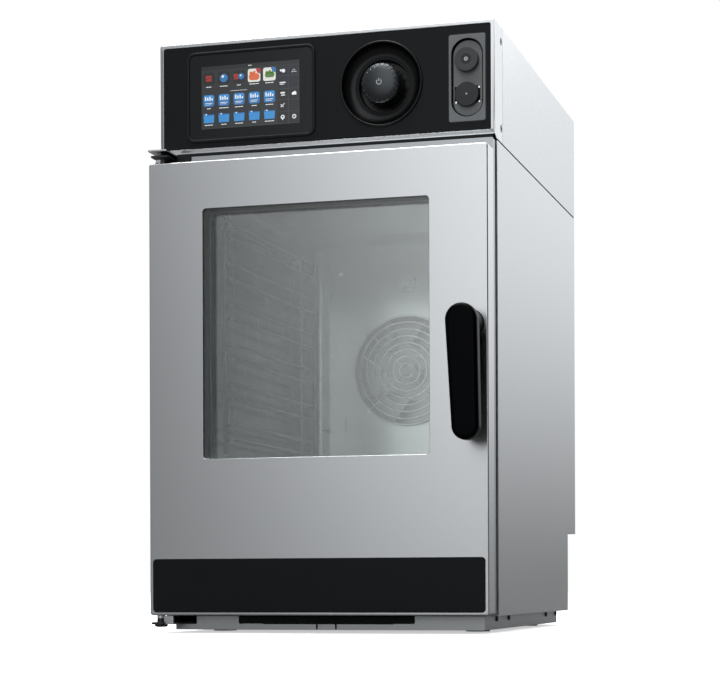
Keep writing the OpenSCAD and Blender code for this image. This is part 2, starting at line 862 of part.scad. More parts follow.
module door_skin() {
    edge = [-hw, door_z0, hw, door_z1];
    color(steel) in_cabinet() difference() {
        upright(door_y0, door_y1) round_box(edge, 4);
        upright(door_y0 + sheet, door_y1 + 1) round_box(grow(edge, -sheet), 2.5);
        upright(door_y0 - 1, door_y0 + sheet + 1) round_box(window, window_r);
        rod_y(handle_x, handle_z, door_y0 - 1, door_y0 + sheet + 1, 10);
        rod_z(hinge_x, hinge_y, door_z0 - 1, door_z1 + 1, 6);
    }
}

module door_outer_glass() {
    color("lightcyan", 0.4) in_cabinet()
        upright(door_y0 + sheet, door_y0 + sheet + outer_pane) round_box(grow(window, 8), 8);
}

module glass_spacer() {
    color("dimgray") in_cabinet()
        upright(door_y0 + sheet + outer_pane, door_y1 - sheet - inner_pane) difference() {
            round_box(grow(window, 5), 8);
            round_box(window, window_r);
        }
}

module door_inner_glass() {
    color("lightcyan", 0.4) in_cabinet()
        upright(door_y1 - sheet - inner_pane, door_y1 - sheet) round_box(grow(window, 6), 8);
}

module door_inner_frame() {
    edge = [-hw + sheet, door_z0 + sheet, hw - sheet, door_z1 - sheet];
    color(steel) in_cabinet() upright(door_y1 - sheet, door_y1) difference() {
        round_box(edge, 2.5);
        round_box(grow(window, -1), 6);
        translate([handle_x, handle_z]) circle(7);
    }
}

module kick_strip() {
    color(dark) in_cabinet() upright(door_y0 - 0.8, door_y0)
        round_box([-hw + 5.2, door_z0 + 4.4, hw - 5, 104], 5.5);
}

module hinge_bushes() {
    in = -hw + sheet + 2.5;
    color("dimgray") in_cabinet() difference() {
        union() {
            block(in, -234, door_y0 + sheet, door_y1 - sheet, door_z1 - 17, door_z1 - sheet);
            block(in, -234, door_y0 + sheet, door_y1 - sheet, door_z0 + sheet, door_z0 + 17);
            rod_z(hinge_x, hinge_y, door_z1 - sheet, door_z1, 6);
            rod_z(hinge_x, hinge_y, door_z0, door_z0 + sheet, 6);
        }
        rod_z(hinge_x, hinge_y, door_z0 - 1, door_z0 + 18, pin_r + fit_gap);
        rod_z(hinge_x, hinge_y, door_z1 - 18, door_z1 + 1, pin_r + fit_gap);
    }
}

module handle_bearing() {
    color(dark) in_cabinet() difference() {
        union() {
            rod_y(handle_x, handle_z, door_y0 - 2, door_y0, hub_r + 0.5);
            rod_y(handle_x, handle_z, door_y0, door_y1 - sheet, 10);
        }
        rod_y(handle_x, handle_z, door_y0 - 4, door_y1, shaft_r + fit_gap);
    }
}

// Lever, neck, spindle and the cam behind the door in one piece.
module door_handle() {
    tip = [handle_x + 5.5, handle_z - 145.5];
    front = -handle_reach;
    neck_y = front + handle_t;
    color(dark) in_cabinet() {
        upright(front, neck_y) link([handle_x, handle_z], 22.7, tip, 19.6);
        rod_y(handle_x, handle_z, neck_y, door_y0 - 2 - gap, hub_r);
        rod_y(handle_x, handle_z, door_y0 - 4, 8, shaft_r);
        upright(2, 8) link([handle_x, handle_z], 8, [handle_x, handle_z - 9], 4);
    }
}

// --- filter ----------------------------------------------------------------

module air_filter() {
    x0 = slot_x[0] + 1.5;
    x1 = slot_x[1] - 1.5;
    z0 = slot_z + 1;
    z1 = base_h - 0.7;
    y0 = base_y0 + 0.6;
    y1 = y0 + filter_len;
    color(dark) in_cabinet() {
        difference() {
            block(x0, x1, y0, y1, z0, z1);
            block(x0 + 8, x1 - 8, y0 + 8, y1 - 8, z0 - 1, z1 + 1);
        }
        block(x0 + 8, x1 - 8, y0 + 8, y1 - 8, z0 + 4, z0 + 5.5);
    }
}

base_frame();
feet();
left_side_panel();
right_side_panel();
rear_panel();
header_cover();
header_bezel();
control_fascia();
screen_bezel();
screen_glass();
lcd_panel();
drip_channel();
knob_recess();
encoder();
port_plate();
port_sockets();
front_frame();
frame_seal();
door_gasket();
cavity_liner();
insulation();
fan_baffle();
baffle_posts();
fan_grille();
spray_nozzle();
heating_element();
fan_motor();
steam_injector();
temperature_probe();
rack_left();
rack_right();
rack_studs();
drain_pipe();
vent_pipe();
water_inlets();
cable_gland();
circuit_boards();
cooling_fan_housing();
top_hinge();
bottom_hinge();
hinge_pins();
door_striker();
casing_screws();
door_skin();
door_outer_glass();
glass_spacer();
door_inner_frame();
door_inner_glass();
kick_strip();
hinge_bushes();
handle_bearing();
door_handle();
encoder_plunger();
control_knob();
fan_wheel();
vent_flap();
cooling_fan_rotor();
probe_cap();
usb_cap();
air_filter();
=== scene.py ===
import math
import bpy
import bmesh
from mathutils import Matrix, Vector


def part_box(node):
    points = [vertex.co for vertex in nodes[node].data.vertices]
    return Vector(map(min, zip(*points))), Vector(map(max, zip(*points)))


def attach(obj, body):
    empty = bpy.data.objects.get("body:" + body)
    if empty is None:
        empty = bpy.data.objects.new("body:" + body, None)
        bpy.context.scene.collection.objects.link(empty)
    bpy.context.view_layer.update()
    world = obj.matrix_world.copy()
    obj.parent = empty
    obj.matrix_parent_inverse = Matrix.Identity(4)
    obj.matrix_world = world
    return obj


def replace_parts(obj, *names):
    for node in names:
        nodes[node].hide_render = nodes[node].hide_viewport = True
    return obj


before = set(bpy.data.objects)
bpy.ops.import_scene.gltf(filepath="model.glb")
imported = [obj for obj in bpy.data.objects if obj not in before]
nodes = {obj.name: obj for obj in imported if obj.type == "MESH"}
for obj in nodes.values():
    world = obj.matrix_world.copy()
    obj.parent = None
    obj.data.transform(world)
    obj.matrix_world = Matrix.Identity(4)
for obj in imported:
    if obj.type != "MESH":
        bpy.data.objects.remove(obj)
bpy.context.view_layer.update()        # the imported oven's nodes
mm = 0.001


def spanOf(node):
    low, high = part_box(node)
    return low.x, high.x, low.y, high.y, low.z, high.z


def linked(name, data):
    thing = bpy.data.objects.new(name, data)
    bpy.context.collection.objects.link(thing)
    return thing


def quarterTurn(axis):
    return Matrix.Rotation(math.pi / 2, 4, axis)


# ---- camera, floor and lights ----

def addCamera():
    made = {"right": 0.8414, "front": 2.4213, "above": 0.0710, "yaw": 14.19, "roll": -0.2, "lens": 88.19,
            "sensor": 36, "shift": (-0.1646, 0.3342)}
    lens = bpy.data.cameras.new("camera")
    lens.sensor_width, lens.lens = made["sensor"], made["lens"]
    lens.shift_x, lens.shift_y = made["shift"]
    camera = linked("camera", lens)
    turn = Matrix.Rotation(math.radians(made["yaw"]), 4, "Z") @ quarterTurn("X")
    turn = turn @ Matrix.Rotation(math.radians(made["roll"]), 4, "Z")
    stand = Matrix.Translation((made["right"], faceY - made["front"], baseZ + made["above"]))
    camera.matrix_world = stand @ turn
    bpy.context.scene.camera = camera
    print("camera placed")


def softLight(name, spot, target, size, power):
    lamp = bpy.data.lights.new(name, "AREA")
    lamp.shape = "RECTANGLE"
    lamp.size, lamp.size_y = size
    lamp.energy = power
    holder = linked(name, lamp)
    holder.location = spot
    holder.rotation_euler = (Vector(target) - Vector(spot)).to_track_quat("-Z", "Y").to_euler()
    return holder


def addStudio():
    # a bright backdrop that fades towards the floor and towards the left of the lens
    made = {"left": (-0.46, -0.20), "leftLight": (0.28, 1.45), "right": (0.22, 0.48), "rise": (-0.06, 0.24),
            "frontRise": (0.62, 1.12), "backRise": (0.13, 1.25), "backSide": (0.55, 0.9), "fade": (1, 0.06),
            "turn": (-0.3, 0.3), "floor": 9}
    # every lamp's place, aim, size and power
    lamps = {"overhead": ((-0.4, -0.1, 3.1), (0.0, -0.1, 0.8), (2.2, 1.6), 90),
             "behindRight": ((2.2, 2.6, 2.6), (0.2, 0.2, 0.6), (2.0, 1.6), 24),
             "cavityLamp": ((0.13, -0.05, 0.63), (0.06, 0.19, 0.35), (0.08, 0.02), 0.12)}
    world = bpy.data.worlds.new("studio")
    bpy.context.scene.world = world
    world.use_nodes = True
    tree = world.node_tree
    tree.nodes.clear()
    heading = makeNode(tree, "ShaderNodeTexCoord").outputs["Generated"]
    parts = makeNode(tree, "ShaderNodeSeparateXYZ", {0: heading}).outputs

    def ramp(value, span, levels):
        return makeNode(tree, "ShaderNodeMapRange", {"Value": value, "From Min": span[0],
                                                     "From Max": span[1],
                        "To Min": levels[0],
                        "To Max": levels[1]}, interpolation_type="SMOOTHSTEP").outputs[0]

    across = ramp(parts[0], made["left"], made["leftLight"])
    up = ramp(parts[2], made["rise"], made["frontRise"])
    fall = ramp(parts[0], made["right"], made["fade"])
    front = mathOf(tree, "MULTIPLY", mathOf(tree, "MULTIPLY", across, up), fall)
    rear = ramp(parts[2], made["rise"], made["backRise"])
    back = mathOf(tree, "MULTIPLY", rear, ramp(parts[0], made["backSide"], made["fade"]))
    facing = ramp(parts[1], made["turn"], (0, 1))
    level = makeNode(tree, "ShaderNodeMix", {0: facing, 2: front, 3: back}, data_type="FLOAT").outputs[0]
    shade = makeNode(tree, "ShaderNodeBackground", {"Color": (0.96, 0.98, 1, 1), "Strength": level})
    plain = makeNode(tree, "ShaderNodeBackground", {"Color": (1, 1, 1, 1), "Strength": 1.0})
    seen = makeNode(tree, "ShaderNodeLightPath").outputs["Is Camera Ray"]
    both = makeNode(tree, "ShaderNodeMixShader", {0: seen, 1: shade.outputs[0], 2: plain.outputs[0]})
    makeNode(tree, "ShaderNodeOutputWorld", {"Surface": both.outputs[0]})
    for name, values in lamps.items():
        softLight(name, *values).visible_glossy = name != "cavityLamp"
    far = made["floor"]
    floor = meshPiece("floor", [(-far, -far, 0), (far, -far, 0), (far, far, 0), (-far, far, 0)],
                      [(0, 1, 2, 3)], paleFloor())
    bpy.context.scene.view_settings.view_transform = "Standard"
    print("studio lit")


# ---- node helpers ----

def makeNode(tree, kind, inputs=None, **settings):
    node = tree.nodes.new(kind)
    for key, value in settings.items():
        setattr(node, key, value)
    for key, value in (inputs or {}).items():
        if isinstance(value, bpy.types.NodeSocket):
            tree.links.new(value, node.inputs[key])
        else:
            node.inputs[key].default_value = value
    return node


def mathOf(tree, operation, *values):
    return makeNode(tree, "ShaderNodeMath", dict(enumerate(values)), operation=operation).outputs[0]


def scaled(tree, vector, factor):
    return makeNode(tree, "ShaderNodeVectorMath", {0: vector, "Scale": factor},
                    operation="SCALE").outputs[0]


def startMaterial(name, **values):
    material = bpy.data.materials.new(name)
    material.use_nodes = True
    tree = material.node_tree
    surface = tree.nodes["Principled BSDF"]
    for key, value in values.items():
        surface.inputs[key].default_value = value
    coords = makeNode(tree, "ShaderNodeTexCoord").outputs["Object"]
    return material, tree, surface, coords


def wearSkin(tree, surface, skin, bump, deep):
    # colour, roughness and bumps from one of the shared groups
    tree.links.new(skin["Color"], surface.inputs["Base Color"])
    tree.links.new(skin["Roughness"], surface.inputs["Roughness"])
    bumpOn(tree, surface, skin["Height"], bump, deep)


def bumpOn(tree, surface, height, strength, deep):
    bumps = makeNode(tree, "ShaderNodeBump", {"Strength": strength, "Distance": deep, "Height": height})
    tree.links.new(bumps.outputs[0], surface.inputs["Normal"])


def putOut(group, result, **values):
    for title, value in values.items():
        group.links.new(value, result.inputs[title])


def startGroup(name, inputs, outputs):
    group = bpy.data.node_groups.new(name, "ShaderNodeTree")
    for title, kind, value in inputs:
        socket = group.interface.new_socket(title, in_out="INPUT", socket_type="NodeSocket" + kind)
        if value is not None:
            socket.default_value = value
    for title, kind in outputs:
        group.interface.new_socket(title, in_out="OUTPUT", socket_type="NodeSocket" + kind)
    return group, makeNode(group, "NodeGroupInput").outputs, makeNode(group, "NodeGroupOutput")


def useGroup(tree, group, inputs):
    return makeNode(tree, "ShaderNodeGroup", inputs, node_tree=group).outputs


def makeBrushing():
    # long fine scratches along one axis, with slow drifts in tone
    group, given, result = startGroup("brushing", [
        ("Vector", "Vector", None), ("Across", "Vector", (8, 900, 900)), ("Roughness", "Float", 0.34),
        ("Spread", "Float", 0.1), ("Tone", "Color", (0.6, 0.6, 0.6, 1)), ("Drift", "Float", 0.08)],
        [("Color", "Color"), ("Roughness", "Float"), ("Height", "Float")])
    stretched = makeNode(group, "ShaderNodeVectorMath", {0: given["Vector"], 1: given["Across"]},
                         operation="MULTIPLY")
    lines = makeNode(group, "ShaderNodeTexNoise", {"Vector": stretched.outputs[0], "Scale": 1.0,
                                                   "Detail": 4.0, "Roughness": 0.7}).outputs[0]
    clouds = makeNode(group, "ShaderNodeTexNoise", {"Vector": given["Vector"], "Scale": 3.2, "Detail": 2.0})
    centred = mathOf(group, "SUBTRACT", lines, 0.5)
    rough = mathOf(group, "MULTIPLY_ADD", centred, given["Spread"], given["Roughness"])
    fine = mathOf(group, "MULTIPLY", centred, given["Drift"])
    slow = mathOf(group, "ADD", clouds.outputs[0], -0.5)
    tone = mathOf(group, "MULTIPLY_ADD", slow, given["Drift"], fine)
    colour = scaled(group, given["Tone"], mathOf(group, "ADD", tone, 1.0))
    putOut(group, result, Color=colour, Roughness=rough, Height=lines)
    return group


def makeMoulding():
    # the fine pebbled skin of moulded plastic and lacquer, with handling marks
    group, given, result = startGroup("moulding", [
        ("Vector", "Vector", None), ("Grain", "Float", 900.0), ("Roughness", "Float", 0.45),
        ("Handling", "Float", 0.12), ("Tone", "Color", (0.02, 0.02, 0.02, 1))],
        [("Color", "Color"), ("Roughness", "Float"), ("Height", "Float")])
    grain = makeNode(group, "ShaderNodeTexVoronoi", {"Vector": given["Vector"], "Scale": given["Grain"]},
                     feature="SMOOTH_F1")
    marks = makeNode(group, "ShaderNodeTexNoise", {"Vector": given["Vector"], "Scale": 14.0, "Detail": 5.0,
                                                   "Roughness": 0.65}).outputs[0]
    rough = mathOf(group, "MULTIPLY_ADD", marks, given["Handling"], given["Roughness"])
    colour = scaled(group, given["Tone"], mathOf(group, "MULTIPLY_ADD", marks, 0.3, 0.85))
    putOut(group, result, Color=colour, Roughness=rough, Height=grain.outputs["Distance"])
    return group


brushing = makeBrushing()
moulding = makeMoulding()


def brushedMetal(name, tone, across, roughness, spread=0.1, drift=0.08, bump=0.02, rolled=None):
    material, tree, surface, coords = startMaterial(name, Metallic=1.0)
    if rolled:
        surface.inputs["Anisotropic"].default_value = 0.75
        surface.inputs["Anisotropic Rotation"].default_value = 0.25
        lay = makeNode(tree, "ShaderNodeTangent", direction_type="RADIAL", axis=rolled)
        tree.links.new(lay.outputs[0], surface.inputs["Tangent"])
    grain = useGroup(tree, brushing, {"Vector": coords, "Across": across, "Roughness": roughness,
                                      "Spread": spread, "Tone": (*tone, 1), "Drift": drift})
    wearSkin(tree, surface, grain, bump, 0.0004)
    return material


def moulded(name, tone, grain, roughness, handling=0.12, bump=0.05, gloss=0.5):
    material, tree, surface, coords = startMaterial(name, **{"Specular IOR Level": gloss})
    skin = useGroup(tree, moulding, {"Vector": coords, "Grain": grain, "Roughness": roughness,
                                     "Handling": handling, "Tone": (*tone, 1)})
    wearSkin(tree, surface, skin, bump, 0.0003)
    return material


def paneGlass(name, tint, clear, index):
    # lamps pass straight through the pane, so the cavity behind it is lit
    material, tree, surface, coords = startMaterial(name, **{"Roughness": 0.02, "IOR": index,
                                                             "Transmission Weight": 1.0})
    surface.inputs["Base Color"].default_value = tint
    haze = makeNode(tree, "ShaderNodeTexNoise", {"Vector": coords, "Scale": 6.0, "Detail": 4.0})
    rough = makeNode(tree, "ShaderNodeMapRange", {"Value": haze.outputs[0], "To Min": 0.0, "To Max": 0.03})
    tree.links.new(rough.outputs[0], surface.inputs["Roughness"])
    path = makeNode(tree, "ShaderNodeLightPath")
    passed = makeNode(tree, "ShaderNodeBsdfTransparent", {"Color": clear})
    mixed = makeNode(tree, "ShaderNodeMixShader", {0: path.outputs["Is Shadow Ray"], 1: surface.outputs[0],
                                                   2: passed.outputs[0]})
    tree.links.new(mixed.outputs[0], tree.nodes["Material Output"].inputs["Surface"])
    return material


def litPrint(name, tone, strength=1.0, roughness=0.18):
    material, tree, surface, coords = startMaterial(name, **{"Roughness": roughness, "Coat Weight": 0.6,
                                                             "Coat Roughness": 0.05})
    dots = makeNode(tree, "ShaderNodeTexNoise", {"Vector": coords, "Scale": 260.0, "Detail": 1.0})
    level = makeNode(tree, "ShaderNodeMapRange", {"Value": dots.outputs[0], "To Min": 0.85, "To Max": 1.15})
    surface.inputs["Base Color"].default_value = [c * 0.3 for c in tone] + [1]
    tree.links.new(scaled(tree, tone, level.outputs[0]), surface.inputs["Emission Color"])
    surface.inputs["Emission Strength"].default_value = strength
    return material


def paleFloor():
    material, tree, surface, coords = startMaterial("paleFloor",
                                                    **{"Roughness": 1.0, "Specular IOR Level": 0.0})
    mottle = makeNode(tree, "ShaderNodeTexNoise", {"Vector": coords, "Scale": 1.5, "Detail": 2.0})
    tone = makeNode(tree, "ShaderNodeMapRange", {"Value": mottle.outputs[0], "To Min": 0.93,
                                                 "To Max": 0.96})
    seen = makeNode(tree, "ShaderNodeLightPath").outputs["Is Camera Ray"]
    shade = makeNode(tree, "ShaderNodeMix", {0: seen, 2: 0.16, 3: tone.outputs[0]}, data_type="FLOAT")
    tree.links.new(shade.outputs[0], surface.inputs["Base Color"])
    surface.inputs["Emission Color"].default_value = (1, 1, 1, 1)
    tree.links.new(mathOf(tree, "MULTIPLY", seen, 0.55), surface.inputs["Emission Strength"])
    return material


def woolMat():
    material, tree, surface, coords = startMaterial("pressedWool", Roughness=0.95)
    fibres = makeNode(tree, "ShaderNodeTexNoise", {"Vector": coords, "Scale": 160.0, "Detail": 6.0,
                                                   "Distortion": 2.0}).outputs[0]
    tones = makeNode(tree, "ShaderNodeMix", {0: fibres, 6: (0.38, 0.31, 0.14, 1), 7: (0.66, 0.58, 0.34, 1)},
                     data_type="RGBA")
    tree.links.new(tones.outputs[2], surface.inputs["Base Color"])
    bumpOn(tree, surface, fibres, 0.6, 0.002)
    return material


# scratches are stretched along the axis with the small number
alongZ = (900, 900, 8)
casingSteel = brushedMetal("casingSteel", (0.60, 0.61, 0.62), (14, 1700, 1700), 0.25, 0.05, 0.035, 0.004,
                           "Z")
sideSteel = brushedMetal("sideSteel", (0.52, 0.53, 0.54), (1700, 14, 1700), 0.25, 0.05, 0.035, 0.004, "Z")
coverSteel = brushedMetal("coverSteel", (0.52, 0.53, 0.54), (1700, 14, 1700), 0.27, 0.05, 0.035, 0.004)
millSteel = brushedMetal("millSteel", (0.50, 0.515, 0.52), (60, 60, 60), 0.34, drift=0.12)
# a darker copy of the brushed steel for the front frame: painted shade in the gap behind the door
shadedFrontSteel = brushedMetal("shadedFrontSteel", (0.40, 0.41, 0.42), (14, 1700, 1700), 0.3, 0.05, 0.05, 0.004)
cavitySteel = brushedMetal("cavitySteel", (0.40, 0.43, 0.42), alongZ, 0.26, drift=0.1)
brightWire = brushedMetal("brightWire", (0.70, 0.71, 0.71), (300, 300, 300), 0.2, bump=0.01)
machinedSteel = brushedMetal("machinedSteel", (0.66, 0.67, 0.68), (500, 30, 500), 0.28)
oxideSteel = brushedMetal("oxideSteel", (0.06, 0.06, 0.065), (200, 200, 200), 0.42)
spacerSteel = brushedMetal("spacerSteel", (0.085, 0.095, 0.095), (60, 60, 60), 0.45)
baffleSteel = brushedMetal("baffleSteel", (0.62, 0.64, 0.635), (60, 60, 60), 0.2, drift=0.05, bump=0.004)
# a darker copy of the wire steel for the rack runners and hoops: painted shade inside the cavity
shadedRackSteel = brushedMetal("shadedRackSteel", (0.20, 0.21, 0.21), (300, 300, 300), 0.3, bump=0.01)
castMetal = brushedMetal("castMetal", (0.40, 0.41, 0.42), (240, 240, 240), 0.55, drift=0.2, bump=0.3)
plainBrass = brushedMetal("plainBrass", (0.62, 0.44, 0.18), (200, 200, 200), 0.32)
blackLacquer = moulded("blackLacquer", (0.006, 0.0074, 0.0088), 1400, 0.34, 0.08, 0.03, gloss=0.14)
blackPlastic = moulded("blackPlastic", (0.009, 0.010, 0.011), 1100, 0.42, gloss=0.2)
handleBlack = moulded("handleBlack", (0.0004, 0.0007, 0.0013), 1600, 0.24, 0.1, 0.02, gloss=0.04)
knobCharcoal = brushedMetal("knobCharcoal", (0.062, 0.066, 0.070), (900, 900, 900), 0.36, 0.1, 0.1, 0.01)
dishBlack = moulded("dishBlack", (0.0016, 0.0018, 0.0022), 1400, 0.3, 0.08, 0.02, gloss=0.3)
landBlack = moulded("landBlack", (0.017, 0.019, 0.021), 1100, 0.5, gloss=0.1)
greyPlastic = moulded("greyPlastic", (0.19, 0.20, 0.205), 1200, 0.4, gloss=0.35)
capPlastic = moulded("capPlastic", (0.070, 0.075, 0.078), 1200, 0.45, gloss=0.25)
hubPlastic = moulded("hubPlastic", (0.036, 0.039, 0.041), 1200, 0.45, gloss=0.25)
blackSilicone = moulded("blackSilicone", (0.012, 0.012, 0.013), 700, 0.55, bump=0.1)
boardGreen = moulded("boardGreen", (0.015, 0.10, 0.04), 300, 0.35)
coverGlass = moulded("coverGlass", (0.0045, 0.0055, 0.0065), 40, 0.05, 0.04, 0.0, gloss=0.3)
doorGlass = paneGlass("doorGlass", (0.97, 0.99, 0.98, 1), (0.93, 0.96, 0.95, 1), 1.5)
coatedGlass = paneGlass("coatedGlass", (0.93, 0.96, 0.95, 1), (0.80, 0.83, 0.82, 1), 1.95)
pressedWool = woolMat()
# light-grey print that also glows: print plus a painted glow, for the knob's symbol and the caps' ring and
# dot
glowingSymbolPrint = litPrint("glowingSymbolPrint", (0.62, 0.64, 0.66), 0.35)
print("materials made")


# ---- mesh helpers ----

def meshPiece(name, verts, faces, material, sharp=35):
    mesh = bpy.data.meshes.new(name)
    mesh.from_pydata([tuple(v) for v in verts], [], faces)
    mergeDoubles(mesh, True)
    return dress(name, mesh, material, sharp)


def mergeDoubles(mesh, turnOut):
    shell = bmesh.new()
    shell.from_mesh(mesh)
    bmesh.ops.remove_doubles(shell, verts=shell.verts, dist=1e-6)
    if turnOut:
        bmesh.ops.recalc_face_normals(shell, faces=shell.faces)
    shell.to_mesh(mesh)
    shell.free()


def dress(name, mesh, material, sharp=35, weigh=True):
    mesh.materials.clear()
    mesh.materials.append(material)
    mesh.shade_smooth()
    mesh.set_sharp_from_angle(angle=math.radians(sharp))
    piece = linked(name, mesh)
    if weigh:
        weights = piece.modifiers.new("weights", "WEIGHTED_NORMAL")
        weights.keep_sharp = True
        settle(piece)
    return piece


def settle(piece):
    # bakes the modifiers into a plain mesh
    graph = bpy.context.evaluated_depsgraph_get()
    mesh = bpy.data.meshes.new_from_object(piece.evaluated_get(graph), preserve_all_data_layers=True,
                                           depsgraph=graph)
    piece.modifiers.clear()
    piece.data = mesh


def takeMesh(holder):
    # the finished shape of a curve or a node tree as a plain mesh
    graph = bpy.context.evaluated_depsgraph_get()
    mesh = bpy.data.meshes.new_from_object(holder.evaluated_get(graph), depsgraph=graph)
    bpy.data.objects.remove(holder)
    return mesh


def joined(name, parts):
    if len(parts) > 1:
        bpy.ops.object.select_all(action="DESELECT")
        for part in parts:
            part.select_set(True)
        bpy.context.view_layer.objects.active = parts[0]
        bpy.ops.object.join()
    parts[0].name = name
    parts[0].data.name = name
    return parts[0]


def roundLoop(box, radius, y, steps=6):
    # a rounded rectangle standing at depth y, as a closed list of points
    x0, z0, x1, z1 = box
    corners = [(x1 - radius, z0 + radius, -90), (x1 - radius, z1 - radius, 0),
               (x0 + radius, z1 - radius, 90), (x0 + radius, z0 + radius, 180)]
    loop = []
    for cx, cz, start in corners:
        for step in range(steps + 1):
            angle = math.radians(start + 90 * step / steps)
            loop.append((cx + radius * math.cos(angle), y, cz + radius * math.sin(angle)))
    return loop


def grown(box, by):
    return box[0] - by, box[1] - by, box[2] + by, box[3] + by


def loft(name, loops, material, closed=False, firstCap=False, lastCap=False, sharp=35):
    count = len(loops[0])
    verts = [point for loop in loops for point in loop]
    faces = []
    rows = len(loops) if closed else len(loops) - 1
    for row in range(rows):
        a, b = row * count, (row + 1) % len(loops) * count
        for k in range(count):
            n = (k + 1) % count
            faces.append((a + k, a + n, b + n, b + k))
    if firstCap:
        faces.append(tuple(range(count)))
    if lastCap:
        faces.append(tuple(range(len(verts) - count, len(verts))))
    return meshPiece(name, verts, faces, material, sharp)


def edgeArc(size, front, steps=4):
    # insets and depths of a rounded front edge: from the face to the side
    return [(size * (1 - math.sin(math.radians(90 * k / steps))),
             front + size * (1 - math.cos(math.radians(90 * k / steps)))) for k in range(steps + 1)]


def ringLoop(x, z, radius, y, count):
    return [(x + radius * math.cos(math.tau * k / count), y, z + radius * math.sin(math.tau * k / count))
            for k in range(count)]


def turned(name, profile, centre, material, count=72, sharp=35):
    # turns (radius, y) points about an axis along Y; a zero radius closes an end
    x, z = centre
    verts, rows = [], []
    for radius, y in profile:
        start = len(verts)
        if radius < 1e-6:
            verts.append((x, y, z))
            rows.append([start] * count)
        else:
            verts += ringLoop(x, z, radius, y, count)
            rows.append(list(range(start, start + count)))
    return meshPiece(name, verts, bandFaces(rows, count), material, sharp)


def bandFaces(rows, count):
    # the faces between rows of points round an axis; a row of one repeated point is a pole
    faces = []
    for a, b in zip(rows, rows[1:]):
        for k in range(count):
            n = (k + 1) % count
            corners = tuple(dict.fromkeys((a[k], a[n], b[n], b[k])))
            if len(corners) > 2:
                faces.append(corners)
    return faces


def plate(name, outlines, yFront, yBack, material, edge=0.0003, steps=2):
    # a flat plate cut from closed outlines of (x, z) points, the later ones being holes
    curve = bpy.data.curves.new(name, "CURVE")
    curve.dimensions = "2D"
    curve.fill_mode = "BOTH"
    curve.extrude = (yBack - yFront) / 2 - edge
    curve.bevel_depth = edge
    curve.bevel_resolution = steps
    curve.offset = -edge
    for outline in outlines:
        spline = curve.splines.new("POLY")
        spline.points.add(len(outline) - 1)
        for point, (x, z) in zip(spline.points, outline):
            point.co = (x, z, 0, 1)
        spline.use_cyclic_u = True
    mesh = takeMesh(linked(name, curve))
    mesh.transform(Matrix.Translation((0, (yFront + yBack) / 2, 0)) @ quarterTurn("X"))
    mergeDoubles(mesh, False)
    piece = dress(name, mesh, material, weigh=False)
    for face in piece.data.polygons:
        face.use_smooth = abs(face.normal.y) < 0.999
    return piece


def roundBox2(box, radius, steps=6):
    return [(p[0], p[2]) for p in roundLoop(box, radius, 0, steps)]


def circle2(x, z, radius, count=48):
    return [(x + radius * math.cos(math.tau * k / count), z + radius * math.sin(math.tau * k / count))
            for k in range(count)]


def bar2(x0, z0, x1, z1, width):
    # a straight stroke with round ends
    run = Vector((x1 - x0, z1 - z0))
    heading = math.atan2(run.y, run.x)
    points = []
    for cx, cz, start in ((x1, z1, -90), (x0, z0, 90)):
        for k in range(7):
            angle = heading + math.radians(start + 30 * k)
            points.append((cx + width / 2 * math.cos(angle), cz + width / 2 * math.sin(angle)))
    return points


def wire(name, points, radius, material, cyclic=False, sides=5):
    curve = bpy.data.curves.new(name, "CURVE")
    curve.dimensions = "3D"
    curve.bevel_depth = radius
    curve.bevel_resolution = sides
    curve.use_fill_caps = True
    spline = curve.splines.new("POLY")
    spline.points.add(len(points) - 1)
    for point, co in zip(spline.points, points):
        point.co = (*co, 1)
    spline.use_cyclic_u = cyclic
    return dress(name, takeMesh(linked(name, curve)), material, 50)


def filleted(points, radius, steps=5):
    # rounds the inner corners of a path
    path = [Vector(points[0])]
    for a, b, c in zip(points, points[1:], points[2:]):
        b = Vector(b)
        before, after = (Vector(a) - b).normalized(), (Vector(c) - b).normalized()
        start, end = b + before * radius, b + after * radius
        for k in range(steps + 1):
            t = k / steps
            path.append(start.lerp(b, t).lerp(b.lerp(end, t), t))
    path.append(Vector(points[-1]))
    return path


# ---- geometry node trees ----

def startTree(name, inputs):
    tree = bpy.data.node_groups.new(name, "GeometryNodeTree")
    tree.interface.new_socket("Geometry", in_out="INPUT", socket_type="NodeSocketGeometry")
    for title, kind in inputs:
        tree.interface.new_socket(title, in_out="INPUT", socket_type="NodeSocket" + kind)
    tree.interface.new_socket("Geometry", in_out="OUTPUT", socket_type="NodeSocketGeometry")
    return tree, makeNode(tree, "NodeGroupInput").outputs


def endTree(tree, geometry, material):
    whole = makeNode(tree, "GeometryNodeRealizeInstances", {0: geometry})
    painted = makeNode(tree, "GeometryNodeSetMaterial", {"Geometry": whole.outputs[0],
                                                         "Material": material})
    makeNode(tree, "NodeGroupOutput", {0: painted.outputs[0]})
    return tree


def runTree(name, tree, values, material, points=(), sharp=35):
    base = bpy.data.meshes.new(name)
    base.from_pydata([tuple(p) for p in points], [], [])
    holder = linked(name, base)
    grow = holder.modifiers.new("grow", "NODES")
    grow.node_group = tree
    sockets = {item.name: item.identifier for item in tree.interface.items_tree if item.in_out == "INPUT"}
    for title, value in {**values, "Material": material}.items():
        grow[sockets[title]] = value
    holder.update_tag()
    return dress(name, takeMesh(holder), material, sharp)


def copiesOn(tree, points, shape, **more):
    return makeNode(tree, "GeometryNodeInstanceOnPoints", {"Points": points, "Instance": shape,
                                                           **more}).outputs[0]


def shapeOf(tree, given):
    return makeNode(tree, "GeometryNodeObjectInfo", {"Object": given["Piece"]}).outputs["Geometry"]


def spotsTree():
    # a copy of one piece at every point of the modifier's own mesh
    tree, given = startTree("copiesAtSpots", [("Piece", "Object"), ("Material", "Material")])
    copies = copiesOn(tree, given["Geometry"], shapeOf(tree, given))
    return endTree(tree, copies, given["Material"])


